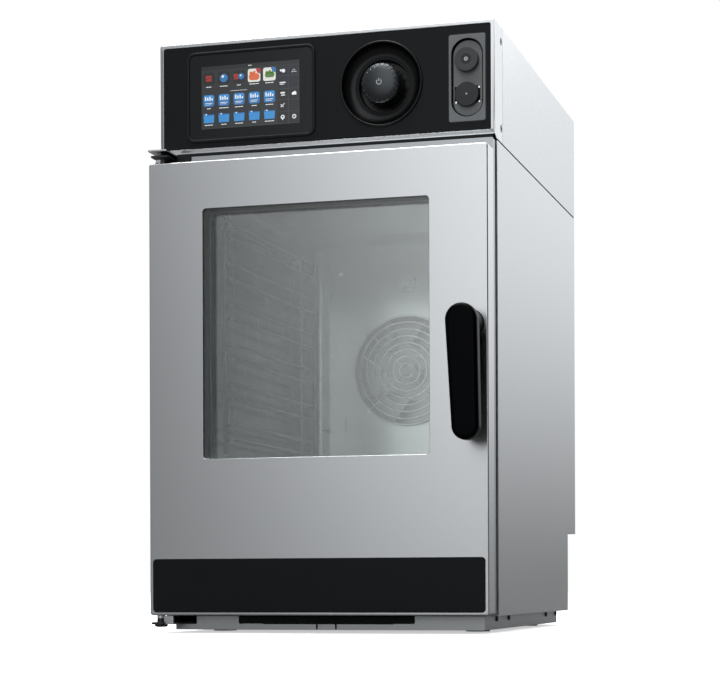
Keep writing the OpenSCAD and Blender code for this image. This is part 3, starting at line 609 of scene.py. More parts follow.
def rowTree():
    # a straight row of copies, a fixed step apart
    tree, given = startTree("copiesInRow", [("Piece", "Object"), ("Count", "Int"), ("Step", "Vector"),
                                            ("Material", "Material")])
    line = makeNode(tree, "GeometryNodeMeshLine", {"Count": given["Count"], "Offset": given["Step"]})
    copies = copiesOn(tree, line.outputs[0], shapeOf(tree, given))
    return endTree(tree, copies, given["Material"])


def roundTree():
    # copies turned about an axis along Y through Centre
    tree, given = startTree("copiesRound", [("Piece", "Object"), ("Count", "Int"), ("Centre", "Vector"),
                                            ("Material", "Material")])
    local = makeNode(tree, "GeometryNodeTransform", {"Geometry": shapeOf(tree, given),
                                                     "Translation": scaled(tree, given["Centre"], -1.0)})
    line = makeNode(tree, "GeometryNodeMeshLine", {"Count": given["Count"],
                                                   "Start Location": given["Centre"], "Offset": (0, 0, 0)})
    share = mathOf(tree, "DIVIDE", makeNode(tree, "GeometryNodeInputIndex").outputs[0], given["Count"])
    turn = makeNode(tree, "ShaderNodeCombineXYZ", {"Y": mathOf(tree, "MULTIPLY", share, math.tau)})
    copies = copiesOn(tree, line.outputs[0], local.outputs[0], Rotation=turn.outputs[0])
    return endTree(tree, copies, given["Material"])


def ringsTree():
    # concentric wire rings about an axis along Y
    tree, given = startTree("wireRings", [("Count", "Int"), ("First", "Float"), ("Step", "Float"),
                                          ("Wire", "Float"), ("Centre", "Vector"),
                                          ("Material", "Material")])
    line = makeNode(tree, "GeometryNodeMeshLine", {"Count": given["Count"],
                                                   "Start Location": given["Centre"], "Offset": (0, 0, 0)})
    ring = makeNode(tree, "GeometryNodeCurvePrimitiveCircle", {"Resolution": 96, "Radius": 1.0})
    index = makeNode(tree, "GeometryNodeInputIndex").outputs[0]
    size = mathOf(tree, "MULTIPLY_ADD", index, given["Step"], given["First"])
    upright = makeNode(tree, "ShaderNodeCombineXYZ", {"X": math.pi / 2})
    rings = copiesOn(tree, line.outputs[0], ring.outputs[0], Rotation=upright.outputs[0], Scale=size)
    loops = makeNode(tree, "GeometryNodeRealizeInstances", {0: rings})
    section = makeNode(tree, "GeometryNodeCurvePrimitiveCircle",
                       {"Resolution": 10, "Radius": given["Wire"]})
    tubes = makeNode(tree, "GeometryNodeCurveToMesh", {"Curve": loops.outputs[0],
                                                       "Profile Curve": section.outputs[0]})
    return endTree(tree, tubes.outputs[0], given["Material"])


copiesAtSpots = spotsTree()
copiesInRow = rowTree()
copiesRound = roundTree()
wireRings = ringsTree()


def copied(name, tree, piece, material, points=(), sharp=35, **values):
    made = runTree(name, tree, {"Piece": piece, **values}, material, points, sharp)
    bpy.data.objects.remove(piece)
    return made


print("trees made")

# ---- where things are, in millimetres from the header's face and the base's underside ----

faceY = spanOf("header_bezel")[2]
baseZ = spanOf("base_frame")[4]
toFrame = Matrix.Translation((0, faceY, baseZ)) @ Matrix.Scale(mm, 4)


def reach(node):
    # a node's box in the same millimetres
    x0, x1, y0, y1, z0, z1 = [value / mm for value in spanOf(node)]
    return x0, x1, y0 - faceY / mm, y1 - faceY / mm, z0 - baseZ / mm, z1 - baseZ / mm


def frontBox(node):
    # left, bottom, right and top, as seen from the front
    x0, x1, _, _, z0, z1 = reach(node)
    return x0, z0, x1, z1


def middleOf(node):
    x0, z0, x1, z1 = frontBox(node)
    return (x0 + x1) / 2, (z0 + z1) / 2


def place(piece, body, slot, *replaced):
    piece.data.transform(toFrame)
    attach(piece, body)
    if replaced:
        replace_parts(piece, *replaced)
    return piece


def boxPiece(name, spans, material, bevel=0.3):
    x0, x1, y0, y1, z0, z1 = spans
    solid = bmesh.new()
    bmesh.ops.create_cube(solid, size=1)
    bmesh.ops.scale(solid, verts=solid.verts, vec=(x1 - x0, y1 - y0, z1 - z0))
    bmesh.ops.translate(solid, verts=solid.verts, vec=((x0 + x1) / 2, (y0 + y1) / 2, (z0 + z1) / 2))
    if bevel:
        bmesh.ops.bevel(solid, geom=solid.edges[:], offset=bevel, segments=2, affect="EDGES", profile=0.5)
    mesh = bpy.data.meshes.new(name)
    solid.to_mesh(mesh)
    solid.free()
    return dress(name, mesh, material)


def slab(name, outlines, x0, x1, material, edge=0.3):
    # a plate whose outlines are (y, z) points, filled from x0 to x1
    piece = plate(name, outlines, -x1, -x0, material, edge)
    piece.data.transform(quarterTurn("Z"))
    return piece


def mirrored(name, piece):
    mesh = piece.data.copy()
    mesh.transform(Matrix.Scale(-1, 4, (1, 0, 0)))
    mesh.flip_normals()
    return linked(name, mesh)


def paint(material, *names):
    for name in names:
        slots = nodes[name].data.materials
        if not len(slots):
            slots.append(material)
        for index in range(len(slots)):
            slots[index] = material


# ---- casing ----

def addCasing():
    paint(coverSteel, "header_cover")
    paint(millSteel, "rear_panel", "base_frame", "door_inner_frame", "vent_pipe")
    paint(baffleSteel, "fan_baffle")
    paint(millSteel, "vent_flap", "drain_pipe", "steam_injector", "temperature_probe", "rack_studs")
    paint(millSteel, "top_hinge", "bottom_hinge", "door_striker")
    # the front frame takes the darker steel: painted shade behind the door
    paint(shadedFrontSteel, "front_frame")
    paint(blackPlastic, "frame_seal", "drip_channel", "cable_gland", "air_filter", "cooling_fan_housing")
    paint(blackPlastic, "cooling_fan_rotor", "handle_bearing", "hinge_bushes")
    paint(greyPlastic, "encoder", "encoder_plunger", "port_sockets")
    paint(castMetal, "fan_motor")
    paint(plainBrass, "water_inlets")
    paint(boardGreen, "circuit_boards")
    paint(pressedWool, "insulation")
    print("casing painted")


def addSides():
    # the top edge stops short of the header, and a black strip behind the joint is painted shade in the
    # groove
    made = {"sheet": 1.5, "joint": 1.5, "flange": 12, "notch": 151, "stepGap": 5.2, "footGap": 6, "tail": 2,
            "strip": (-1, 0.4), "shadeStripRise": (-1, 3.4)}
    x0, x1, y0, y1, z0, z1 = reach("right_side_panel")
    z1 -= made["joint"]
    step = reach("base_frame")[3] + made["stepGap"]
    notch, sheet, flange, tail = made["notch"], made["sheet"], made["flange"], y1 - made["tail"]
    outline = [(y0, z0), (step, z0), (step, notch), (y1, notch), (y1, z1), (y0, z1)]
    skin = slab("sideSheet", [outline], x1 - sheet, x1, sideSteel, 0.3)
    back = x1 - sheet
    front = boxPiece("sideFlange", (back - flange, back, y0, y0 + sheet, z0, z1), sideSteel)
    foot = boxPiece("sideFoot", (x0, back, y0 + sheet, step - made["footGap"], z0, z0 + sheet), sideSteel)
    top = boxPiece("sideTop", (back - flange, back, y0 + sheet, tail, z1 - sheet, z1), sideSteel)
    right = joined("rightSide", [skin, front, foot, top])
    left = mirrored("leftSide", right)
    place(right, "cabinet", "brushed_steel", "right_side_panel")
    place(left, "cabinet", "brushed_steel", "left_side_panel")
    # black strips behind both joints: painted shade in the grooves under the header
    (near, far), (low, high) = made["strip"], made["shadeStripRise"]
    strip = boxPiece("jointStrip", (back + near, back + far, y0 + 1, tail, z1 + low, z1 + high),
                     blackPlastic, 0)
    other = mirrored("jointOther", strip)
    place(joined("jointStrips", [strip, other]), "cabinet", "black_plastic")


def addBezel():
    made = {"bottom": 703.0, "rim": 5.7, "low": 6.3, "topExtra": 0.7, "sheet": 1.5, "corner": 3,
            "edge": 0.7, "slant": (12, 4.0), "screwY": 40, "screwHole": 5.5, "screws": (719, 843.6),
            "lip": 30, "lean": 3.2}
    x0, x1, _, y1, _, z1 = reach("header_bezel")
    z0, sheet, rim = made["bottom"], made["sheet"], made["rim"]
    outer = (x0, z0, x1, z1)
    hole = (x0 + rim, z0 + made["low"], x1 - rim, z1 - rim + made["topExtra"])
    rows = [roundLoop(outer, made["corner"], sheet)]
    for inset, y in reversed(edgeArc(made["edge"], 0)):
        rows.append(roundLoop(grown(outer, -inset), made["corner"] - inset, y))
    for inset, y in edgeArc(made["edge"], 0):
        rows.append(roundLoop(grown(hole, inset), made["corner"] + inset, y))
    rows.append(roundLoop(hole, made["corner"], sheet))
    rimPiece = loft("bezelRim", rows, casingSteel, closed=True)
    # the lower band leans back towards its bottom edge
    for vertex in rimPiece.data.vertices:
        vertex.co.y += made["lean"] * max(0, 1 - (vertex.co.z - z0) / made["low"])
    slantY, slantZ = made["slant"]
    side = [(sheet, z0 + 0.5), (slantY, z0 - slantZ), (y1, z0 - slantZ), (y1, z1), (sheet, z1)]
    holes = [circle2(made["screwY"], z, made["screwHole"], 24) for z in made["screws"]]
    right = slab("bezelRight", [side] + holes, x1 - sheet, x1, casingSteel)
    left = mirrored("bezelLeft", right)
    top = boxPiece("bezelTop", (x0 + sheet, x1 - sheet, sheet, y1, z1 - sheet, z1), casingSteel)
    under = boxPiece("bezelUnder", (x0 + sheet, x1 - sheet, sheet, made["lip"], z0, z0 + sheet),
                     casingSteel)
    place(joined("headerBezel", [rimPiece, right, left, top, under]), "cabinet", "brushed_steel",
          "header_bezel")


def addScrews():
    made = {"radius": 5.5, "head": 1.3, "hex": 2.1, "deep": 0.9, "y": 40, "heights": (719, 843.6),
            "low": (79, 156, 423, 500), "lowZ": 15.5, "lowRadius": 4, "lowHead": 2, "lowHex": 1.6}
    radius, head, deep = made["radius"], made["head"], made["deep"]
    small, lowHead = made["lowRadius"], made["lowHead"]
    profile = [(0, deep), (made["hex"], deep), (made["hex"], 0), (radius - 0.6, 0), (radius - 0.15, 0.15),
               (radius, 0.6), (radius, head), (0, head)]
    lowProfile = [(0, deep), (made["lowHex"], deep), (made["lowHex"], 0), (small - 0.5, 0), (small, 0.5),
                  (small, lowHead), (0, lowHead)]
    outX, lowX = reach("casing_screws")[1], reach("base_frame")[1] + lowHead
    spots = [(outX, made["y"], z) for z in made["heights"]]
    lowSpots = [(lowX, y, made["lowZ"]) for y in made["low"]]
    rows = []
    for name, shape, count, where in (("header", profile, 24, spots), ("base", lowProfile, 20, lowSpots)):
        screw = turned(name + "Screw", shape, (0, 0), oxideSteel, count)
        screw.data.transform(quarterTurn("Z"))
        rows.append(copied(name + "Screws", copiesAtSpots, screw, oxideSteel, where))
    right = joined("screwsRight", rows)
    left = mirrored("screwsLeft", right)
    place(joined("casingScrews", [right, left]), "cabinet", "dark_steel", "casing_screws")


def addFeet():
    x0, x1, y0, y1, z0, _ = reach("feet")
    made = {"pad": 18, "collar": 1, "neck": 10, "stud": 5, "studTop": 14}
    pad, collar, neck, stud, top = made["pad"], made["collar"], made["neck"], made["stud"], made["studTop"]
    profile = [(0, z0), (pad - 1, z0), (pad, z0 + 0.8), (pad, -collar - 0.4), (pad - 0.6, -collar),
               (neck, -collar), (neck, 0), (stud, 0), (stud, top - 0.5), (stud - 0.5, top), (0, top)]
    foot = turned("footPad", profile, (0, 0), blackPlastic, 40)
    foot.data.transform(quarterTurn("X"))
    spots = [(x, y, 0) for x in (x0 + pad, x1 - pad) for y in (y0 + pad, y1 - pad)]
    place(copied("feetPads", copiesAtSpots, foot, blackPlastic, spots), "cabinet", "black_plastic", "feet")


def addFascia():
    # a lacquered panel with a fine softened edge, cut round the screen, the dish and the ports
    made = {"gap": 0.3, "thick": 3.1, "front": 0.4, "half": 255, "rim": 5.7, "bottom": 703, "low": 6.3,
            "top": 865, "topRim": 5.0, "corner": 2.7, "underRing": 4.5, "screenCorner": 8, "dish": 59,
            "underPort": 2}
    gap, side, front = made["gap"], made["half"], made["front"]
    outer = (-side + made["rim"] + gap, made["bottom"] + made["low"] + gap, side - made["rim"] - gap,
             made["top"] - made["topRim"] - gap)
    screen = grown(frontBox("screen_bezel"), -made["underRing"])
    port = grown(frontBox("port_plate"), -made["underPort"])
    dish = circle2(*middleOf("control_knob"), made["dish"], 96)
    outlines = [roundBox2(outer, made["corner"]), roundBox2(screen, made["screenCorner"]), dish,
                roundBox2(port, 2)]
    fascia = plate("controlFascia", outlines, front, front + made["thick"], blackLacquer, 0.3)
    place(fascia, "cabinet", "black_fascia", "control_fascia")


def addScreen():
    made = {"wide": 4.5, "corner": 12, "front": -2.2, "back": 0.4, "crown": 1.1, "taper": 0.9,
            "paneInset": 4.6, "paneCorner": 7.9, "pane": (-0.55, 3.5)}
    box = frontBox("screen_bezel")
    wide, crown, corner, taper = made["wide"], made["crown"], made["corner"], made["taper"]
    rows = [roundLoop(box, corner, made["back"], 8)]
    for k in range(9):
        t = math.pi * k / 8
        inset = wide / 2 * (1 - math.cos(t))
        y = made["front"] + crown * (1 - math.sin(t))
        rows.append(roundLoop(grown(box, -inset), corner - inset * taper, y, 8))
    rows.append(roundLoop(grown(box, -wide), corner - wide * taper, made["back"], 8))
    ring = loft("screenRing", rows, blackPlastic, closed=True, sharp=50)
    place(ring, "cabinet", "grey_plastic", "screen_bezel")
    outline = roundBox2(grown(box, -made["paneInset"]), made["paneCorner"], 8)
    place(plate("screenPane", [outline], *made["pane"], coverGlass, 0.2), "cabinet", "screen_glass",
          "screen_glass")


# the display's own layout: x right and z down from the lit area's upper left corner
def addDisplay():
    made = {"left": -189, "top": 829, "wide": 152.3, "high": 91.5, "front": -0.62, "layer": 0.012,
            "columns": [11.4 + 23.7 * k for k in range(5)], "rows": (17.8, 50.5, 76.1),
            "captions": (30.3, 62.1, 86.3), "side": (126.7, 144.2)}
    left, top, front = made["left"], made["top"], made["front"]
    layer = made["layer"]

    def at(x, z):
        return left + x, top - z

    def tile(x, z, wide, high, corner):
        cx, cz = at(x, z)
        return roundBox2((cx - wide / 2, cz - high / 2, cx + wide / 2, cz + high / 2), corner, 4)

    def dot(x, z, radius):
        return circle2(*at(x, z), radius, 24)

    def stroke(x0, z0, x1, z1, width):
        return bar2(*at(x0, z0), *at(x1, z1), width)

    def poly(points):
        return [at(x, z) for x, z in points]

    def printed(name, shapes, material, height):
        pieces = []
        for index, shape in enumerate(shapes):
            outlines = shape if isinstance(shape[0], list) else [shape]
            piece = plate(name + str(index), outlines, front - layer * height - 0.02, -0.5, material,
                          0.002, 0)
            pieces.append(piece)
        return place(joined(name, pieces), "cabinet", "display")

    columns, rows = made["columns"], made["rows"]
    whole = [tile(made["wide"] / 2, made["high"] / 2, made["wide"], made["high"], 0.6)]
    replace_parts(printed("displayField", whole, fieldPrint, 0), "lcd_panel")
    black = [tile(made["wide"] / 2, 2.8, made["wide"], 5.6, 0.2)]
    black += [tile(x, rows[0], 18.2, 18.2, 3.4) for x in columns[:3]]
    black += [tile(126.6, 57.5 + 9, 16.2, 49.6, 0.2), tile(144, 57.5 + 9, 16.2, 49.6, 0.2)]
    printed("displayBlack", black, blackPrint, 1)
    navy = [tile(135.3, 24, 34, 34, 0.2)]
    printed("displayNavy", navy, navyPrint, 1)
    blue = [tile(x, rows[1], 17.2, 17.2, 3.2) for x in columns]
    blue += [poly([(x - 8.4, rows[2] - 6.8), (x - 2.4, rows[2] - 6.8), (x - 1.2, rows[2] - 5.2),
                   (x + 8.4, rows[2] - 5.2), (x + 7.9, rows[2] + 7.2),
                   (x - 7.9, rows[2] + 7.2)]) for x in columns]
    blue += [dot(columns[1], rows[0] + 0.6, 6.2), dot(columns[2] + 3.6, rows[0], 4.6)]
    printed("displayBlue", blue, bluePrint, 2)
    pale = [tile(columns[3], rows[0], 19.4, 19.4, 3), tile(columns[4], rows[0], 19.4, 19.4, 3)]
    pale += [dot(columns[1] - 1.6, rows[0] - 1.8, 2.0), dot(columns[2] + 2.6, rows[0] - 1.4, 1.5)]
    printed("displayPale", pale, palePrint, 3)
    sky = [poly([(x - 8.6, rows[2] - 3.6), (x + 8.6, rows[2] - 3.6), (x + 7.6, rows[2] + 6.6),
                 (x - 7.6, rows[2] + 6.6)])
           for x in columns]
    sky += [tile(x, rows[1] - 3.6, 15.6, 8.6, 2.4) for x in columns]
    printed("displaySky", sky, skyPrint, 3)
    red = []
    for start, count, high in ((columns[0] - 3.6, 4, 4.6), (columns[2] - 7.0, 3, 4.4)):
        for k in range(count):
            x = start + 2.4 * k
            red.append(poly([(x - 0.8, rows[0] - high), (x + 1.0, rows[0] - high + 1),
                             (x + 0.2, rows[0] - 1), (x + 1.4, rows[0] + 1.6), (x + 0.6, rows[0] + high),
                             (x - 1.0, rows[0] + high - 0.8), (x - 0.2, rows[0] + 1),
                             (x - 1.4, rows[0] - 1.6)]))
    red += [poly([(columns[3] + 2.2, rows[0] - 9.6), (columns[3] + 9.6, rows[0] - 9.6),
                  (columns[3] + 9.6, rows[0] - 1.6), (columns[3] + 5, rows[0] - 3.4)])]
    printed("displayRed", red, redPrint, 4)
    food = [tile(columns[3], rows[0] + 2.2, 16.4, 10, 4.4)]
    food += [dot(columns[3] + dx, rows[0] + dz, r) for dx, dz, r in ((-5, -3.4, 2.4), (0.4, -4.6, 2),
                                                                     (-1.6, -2.6, 2.2))]
    printed("displayOrange", food, orangePrint, 4)
    greens = [tile(columns[4] + 0.6, rows[0] + 1.0, 14.6, 7.8, 3.4)]
    greens += [dot(columns[4] + dx, rows[0] + dz, r) for dx, dz, r in ((-4, -2.6, 2.2), (0.6, -3.4, 2.4),
                                                                       (4.6, -1.8, 2))]
    printed("displayGreen", greens, greenPrint, 4)
    badge = [poly([(columns[4] + 2.2, rows[0] - 9.6), (columns[4] + 9.6, rows[0] - 9.6),
                   (columns[4] + 9.6, rows[0] - 1.6), (columns[4] + 5, rows[0] - 3.4)])]
    printed("displayBadge", badge, bluePrint, 5)
    white = []
    for k, x in enumerate(columns):
        for row, z in enumerate(made["captions"]):
            spread = (4.2, 6.2, 3.2, 7.4, 6.6)[(k + row * 2) % 5]
            dashes = 3 if spread > 5 else 2
            for d in range(dashes):
                a = x - spread + 2 * spread * d / dashes
                white.append(stroke(a + 0.5, z, a + 2 * spread / dashes - 0.7, z, 1.0))
        for x0, z0, x1, z1, width in ((-5, -5.2, -5, -1.0, 1.9), (-1.6, -4.0, -1.6, -1.0, 1.9),
                                      (1.8, -5.2, 1.8, -1.0, 1.9), (5.2, -2.6, 5.2, -1.0, 1.9),
                                      (-5.4, 3.6, 5.4, 3.6, 0.8), (-5.4, 5.8, 3.4, 5.8, 0.6)):
            white.append(stroke(x + x0, rows[1] + z0, x + x1, rows[1] + z1, width))
        white.append(dot(x - 4.2, rows[2] - 5.4, 1.0))
    white += [stroke(45.5, 38, 71.5, 38, 0.45), dot(74.5, 2.8, 0.9), stroke(76.4, 2.8, 78.6, 2.8, 0.8)]
    x, y = made["side"]
    white += [dot(x - 2.6, 13.8, 1.6), dot(x + 1.4, 14.6, 2.6), stroke(x - 4, 31.6, x + 4, 31.6, 1.6),
              stroke(x - 4, 34, x + 2, 34, 1.0), stroke(x - 2.4, 46.6, x + 2.6, 46.6, 2.2),
              stroke(x - 1.8, 50, x + 3.2, 50, 1.4), stroke(x - 2.6, 67.2, x + 2.6, 62.2, 0.9),
              dot(x - 2.2, 64, 0.9), dot(x + 0.4, 66.4, 0.9), [dot(x, 81.8, 3.0), dot(x, 81.6, 1.4)],
              dot(x, 85.2, 0.8)]
    white += [stroke(y - 4, 17, y + 4, 17, 0.5), stroke(y - 2, 15.4, y - 0.6, 13.6, 0.5),
              stroke(y + 0.6, 13.6, y + 2, 15.4, 0.5), dot(y - 1.4, 48.6, 2.0), dot(y + 1.2, 47.6, 2.4),
              stroke(y - 2.6, 49.6, y + 3.2, 49.6, 1.6), [dot(y + 0.2, 82, 3.2), dot(y + 0.2, 82, 2.0)],
              stroke(y + 0.2, 80.8, y + 0.2, 82.4, 0.7)]
    printed("displayWhite", white, whitePrint, 6)
    thin = [stroke(0.4, made["high"], made["wide"] - 0.4, made["high"], 0.35)]
    thin += [stroke(118.6, z, 151.8, z, 0.3) for z in (21.7, 40.8, 56.7, 73.9)]
    thin += [stroke(135.3, 6.4, 135.3, 90.8, 0.3), stroke(152, 1, 152, 91, 0.3)]
    printed("displayLines", thin, linePrint, 6)
    print("display drawn")


fieldPrint = litPrint("fieldPrint", (0.0085, 0.0105, 0.0125))
blackPrint = litPrint("blackPrint", (0.0008, 0.0008, 0.0010))
navyPrint = litPrint("navyPrint", (0.002, 0.003, 0.012))
bluePrint = litPrint("bluePrint", (0.012, 0.13, 0.34))
skyPrint = litPrint("skyPrint", (0.025, 0.21, 0.50))
palePrint = litPrint("palePrint", (0.62, 0.63, 0.58))
redPrint = litPrint("redPrint", (0.36, 0.018, 0.018))
orangePrint = litPrint("orangePrint", (0.55, 0.11, 0.035))
greenPrint = litPrint("greenPrint", (0.075, 0.16, 0.035))
whitePrint = litPrint("whitePrint", (0.72, 0.74, 0.76))
linePrint = litPrint("linePrint", (0.06, 0.062, 0.064))


# ---- the dial: dish, knob and its push shaft ----

def addDish():
    made = {"radius": 62, "land": 43.5, "flank": 15.5, "landY": 13.5, "well": 37.5, "wellY": 22,
            "hole": 4.2}
    profile = [(made["hole"], made["wellY"]), (made["well"] - 0.6, made["wellY"]),
               (made["well"], made["wellY"] - 0.6), (made["well"], made["landY"] + 0.5),
               (made["well"] + 0.5, made["landY"]), (made["land"] - 0.6, made["landY"])]
    for k in range(17):
        t = math.radians(90 - 90 * k / 16)
        profile.append((made["land"] + made["flank"] * math.cos(t), -2 + (made["landY"] + 2) * math.sin(t)))
    profile += [(made["radius"] - 2.4, -2.35), (made["radius"] - 1.6, -2.5), (made["radius"] - 0.8, -2.3),
                (made["radius"] - 0.2, -1.7), (made["radius"], -0.9), (made["radius"], 0.4),
                (made["radius"] - 3, 0.4), (made["radius"] - 3.6, 8), (made["land"] + 4, 17), (40, 17),
                (40, 24.5), (made["hole"], 24.5)]
    profile.append(profile[0])
    dish = turned("dialDish", profile, middleOf("control_knob"), dishBlack, 128, 40)
    place(dish, "cabinet", "black_fascia", "knob_recess")
    land = turned("dialLand", [(made["well"] + 0.5, made["landY"] + 0.3),
                               (made["well"] + 0.7, made["landY"] - 0.2),
                               (made["land"] - 0.3, made["landY"] - 0.2),
                               (made["land"] - 0.1, made["landY"] + 0.3)],
                  middleOf("control_knob"), landBlack, 96)
    place(land, "cabinet", "black_fascia")


def addKnob():
    made = {"radius": 29, "front": -11, "shoulder": -3, "skirt": 19.5, "notches": 22, "perNotch": 12,
            "deep": 0.7}
    radius, front, shoulder = made["radius"], made["front"], made["shoulder"]
    x, z = middleOf("control_knob")
    profile = [(0, front, 0)]
    for k in range(1, 17):
        t = math.radians(90 * k / 16)
        cut = made["deep"] if k > 9 else 0
        profile.append((radius * math.sin(t), shoulder - (shoulder - front) * math.cos(t), cut))
    profile += [(radius, shoulder + 1.2, made["deep"]), (radius, shoulder + 1.4, 0),
                (radius, made["skirt"] - 0.5, 0), (radius - 0.5, made["skirt"], 0),
                (radius - 3, made["skirt"], 0), (radius - 3, 0, 0), (8, 2, 0), (8, 16, 0), (3, 16, 0),
                (3, 32, 0), (0, 32, 0)]
    count = made["notches"] * made["perNotch"]
    verts, rows = [], []
    for r, y, cut in profile:
        start = len(verts)
        for k in range(count if r else 1):
            # every notch is two steps wide and sunk along the dome's normal
            sunk = cut if k % made["perNotch"] in (0, 1) else 0
            tilt = math.asin(min(1, r / radius))
            reachOut = r - sunk * math.sin(tilt)
            angle = math.tau * (k - 0.5) / count
            verts.append((x + reachOut * math.sin(angle), y + sunk * math.cos(tilt),
                          z + reachOut * math.cos(angle)))
        rows.append(list(range(start, start + count)) if r else [start] * count)
    knob = meshPiece("dialKnob", verts, bandFaces(rows, count), knobCharcoal, 32)
    place(knob, "knob", "knob_plastic", "control_knob")
    addSymbol(x, z, front)


def addSymbol(x, z, front):
    # a standby mark: a ring open at the top and a stroke
    ring = []
    for radius, angles in ((4.2, range(130, 411, 14)), (3.1, range(410, 129, -14))):
        ring += [(x + radius * math.cos(math.radians(a)), z + radius * math.sin(math.radians(a)))
                 for a in angles]
    # the mark is light-grey print with a painted glow
    mark = plate("dialSymbol", [ring], front - 0.05, front + 0.6, glowingSymbolPrint, 0.02, 0)
    stem = plate("dialStem", [bar2(x, z + 1.2, x, z + 4.6, 1.1)], front - 0.05, front + 0.6, glowingSymbolPrint,
                 0.02, 0)
    place(joined("dialSymbol", [mark, stem]), "knob", "knob_plastic")


# ---- service ports ----

def addPorts():
    # a bevelled plate with an obround recess; a deeper groove runs round the recess floor
    made = {"front": -0.9, "back": 8, "corner": 3, "bevel": 0.7, "recess": (191.9, 729, 238.6, 840.4),
            "round": 22.5, "floor": 3.4, "groove": 2.3, "grooveY": 5.9, "hole": 11, "window": (18.8, 12)}
    box, front, floorY = frontBox("port_plate"), made["front"], made["floor"]
    recess, turn, groove = made["recess"], made["round"], made["groove"]
    probe, usb = middleOf("probe_cap"), middleOf("usb_cap")
    wide, high = made["window"]
    window = (usb[0] - wide, usb[1] - high, usb[0] + wide, usb[1] + high)
    rim = plate("portRim", [roundBox2(box, made["corner"]), roundBox2(recess, turn, 14)], front, 0.4,
                greyPlastic, made["bevel"] / 2, 3)
    collar = plate("portCollar", [roundBox2(grown(box, -2), 2), roundBox2(grown(recess, 0.3), turn, 14)],
                   0.3, made["back"], dishBlack, 0.1)
    island = plate("portIsland", [roundBox2(grown(recess, -groove), turn - groove, 14),
                                  circle2(*probe, made["hole"], 48),
                                  roundBox2(window, 1.5)], floorY, made["grooveY"] + 1, greyPlastic, 0.35, 2)
    place(joined("portPlate", [rim, island, collar]), "cabinet", "grey_plastic", "port_plate")
    # the recess wall, the groove floor and a thin ring round the plate are black: painted shade in the
    # recess, the groove and the gap round the plate
    wall = loft("portWall", [roundLoop(grown(recess, -0.02), turn, y, 14)
                             for y in (front + 0.6, made["grooveY"])], dishBlack)
    wall.data.flip_normals()
    back = plate("portBack", [roundBox2(grown(box, -2.2), 2), circle2(*probe, made["hole"]),
                              circle2(*usb, made["hole"])],
                 made["grooveY"] + 0.5, made["back"], dishBlack, 0.2)
    seat = plate("portSeat", [roundBox2(grown(box, 1.5), 4), roundBox2(grown(box, -2), 2)], 0.1, 0.6,
                 dishBlack, 0.05)
    place(joined("portShadow", [wall, back, seat]), "cabinet", "grey_plastic")
    # the plated shell of the data socket shows at three corners of its window
    tabs = []
    for sx, sz in ((1, 1), (-1, -1), (1, -1)):
        cx, cz = usb[0] + sx * (wide - 1.9), usb[1] + sz * (high - 1.9)
        tabs.append(boxPiece("socketTab", (cx - 1.5, cx + 1.5, floorY + 0.3, floorY + 1.2, cz - 1.6,
                                           cz + 1.6), brightWire, 0.4))
    place(joined("socketTabs", tabs), "cabinet", "polished_steel")


def addCaps():
    radius = 17.3
    _, _, front, back, _, _ = reach("probe_cap")
    seat = front + 7.8
    x, z = middleOf("probe_cap")
    upper = [(7.6, front + 0.25), (8.0, front + 0.1), (radius - 2.4, front + 0.1), (radius - 2.0, front),
             (radius - 0.8, front), (radius - 0.2, front + 0.3), (radius, front + 0.9), (radius, seat),
             (7.5, seat), (7.5, back), (0, back)]
    body = turned("capBody", upper, (x, z), capPlastic, 72)
    hub = turned("capHub", [(0, front + 0.2), (7.6, front + 0.2), (7.6, front + 0.6)], (x, z), hubPlastic,
                 48)
    place(joined("probeCap", [body, hub]), "upper_cap", "black_plastic", "probe_cap")
    # the ring is light-grey print with a painted glow
    ring = turned("capRing", [(1.2, front + 0.3), (1.2, front - 0.05), (1.5, front - 0.12),
                              (2.5, front - 0.12), (2.8, front - 0.05),
                              (2.8, front + 0.3)], (x, z), glowingSymbolPrint, 36)
    place(ring, "upper_cap", "black_plastic")
    x, z = middleOf("usb_cap")
    _, _, front, back, _, _ = reach("usb_cap")
    seat = front + 6
    lower = [(0, front + 0.1), (radius - 1.2, front + 0.1), (radius - 0.3, front + 0.4),
             (radius, front + 1), (radius, seat), (0, seat)]
    face = turned("usbFace", lower, (x, z), hubPlastic, 72)
    plug = boxPiece("usbPlug", (x - 5.9, x + 5.9, seat, back, z - 2.1, z + 2.1), blackPlastic)
    place(joined("usbCap", [face, plug]), "lower_cap", "black_plastic", "usb_cap")
    # the dot is light-grey print with a painted glow
    dot = turned("usbDot", [(0, front - 0.1), (1.1, front - 0.1), (1.5, front + 0.3)], (x, z), glowingSymbolPrint,
                 24)
    place(dot, "lower_cap", "black_plastic")


# ---- door ----

def addDoor():
    made = {"sheet": 1.5, "edge": 2.2, "corner": 4, "sharpest": 1.2, "innerCorner": 2.5, "windowRound": 5,
            "windowEdge": 0.7, "overlap": 8}
    x0, x1, y0, y1, z0, z1 = reach("door_skin")
    box = (x0, z0, x1, z1)
    window = grown(frontBox("door_outer_glass"), -made["overlap"])
    inner, turn, behind = grown(box, -made["sheet"]), made["windowRound"], y0 + made["sheet"]
    rows = [roundLoop(window, turn, behind, 5)]
    for inset, y in reversed(edgeArc(made["windowEdge"], y0)):
        rows.append(roundLoop(grown(window, inset), turn + inset, y, 5))
    for inset, y in edgeArc(made["edge"], y0, 6):
        rows.append(roundLoop(grown(box, -inset), max(made["corner"] - inset, made["sharpest"]), y, 5))
    rows.append(roundLoop(box, made["corner"], y1, 5))
    for y in (y1, behind):
        rows.append(roundLoop(inner, made["innerCorner"], y, 5))
    skin = loft("doorSkin", rows, casingSteel, closed=True, sharp=40)
    place(skin, "door", "brushed_steel", "door_skin")


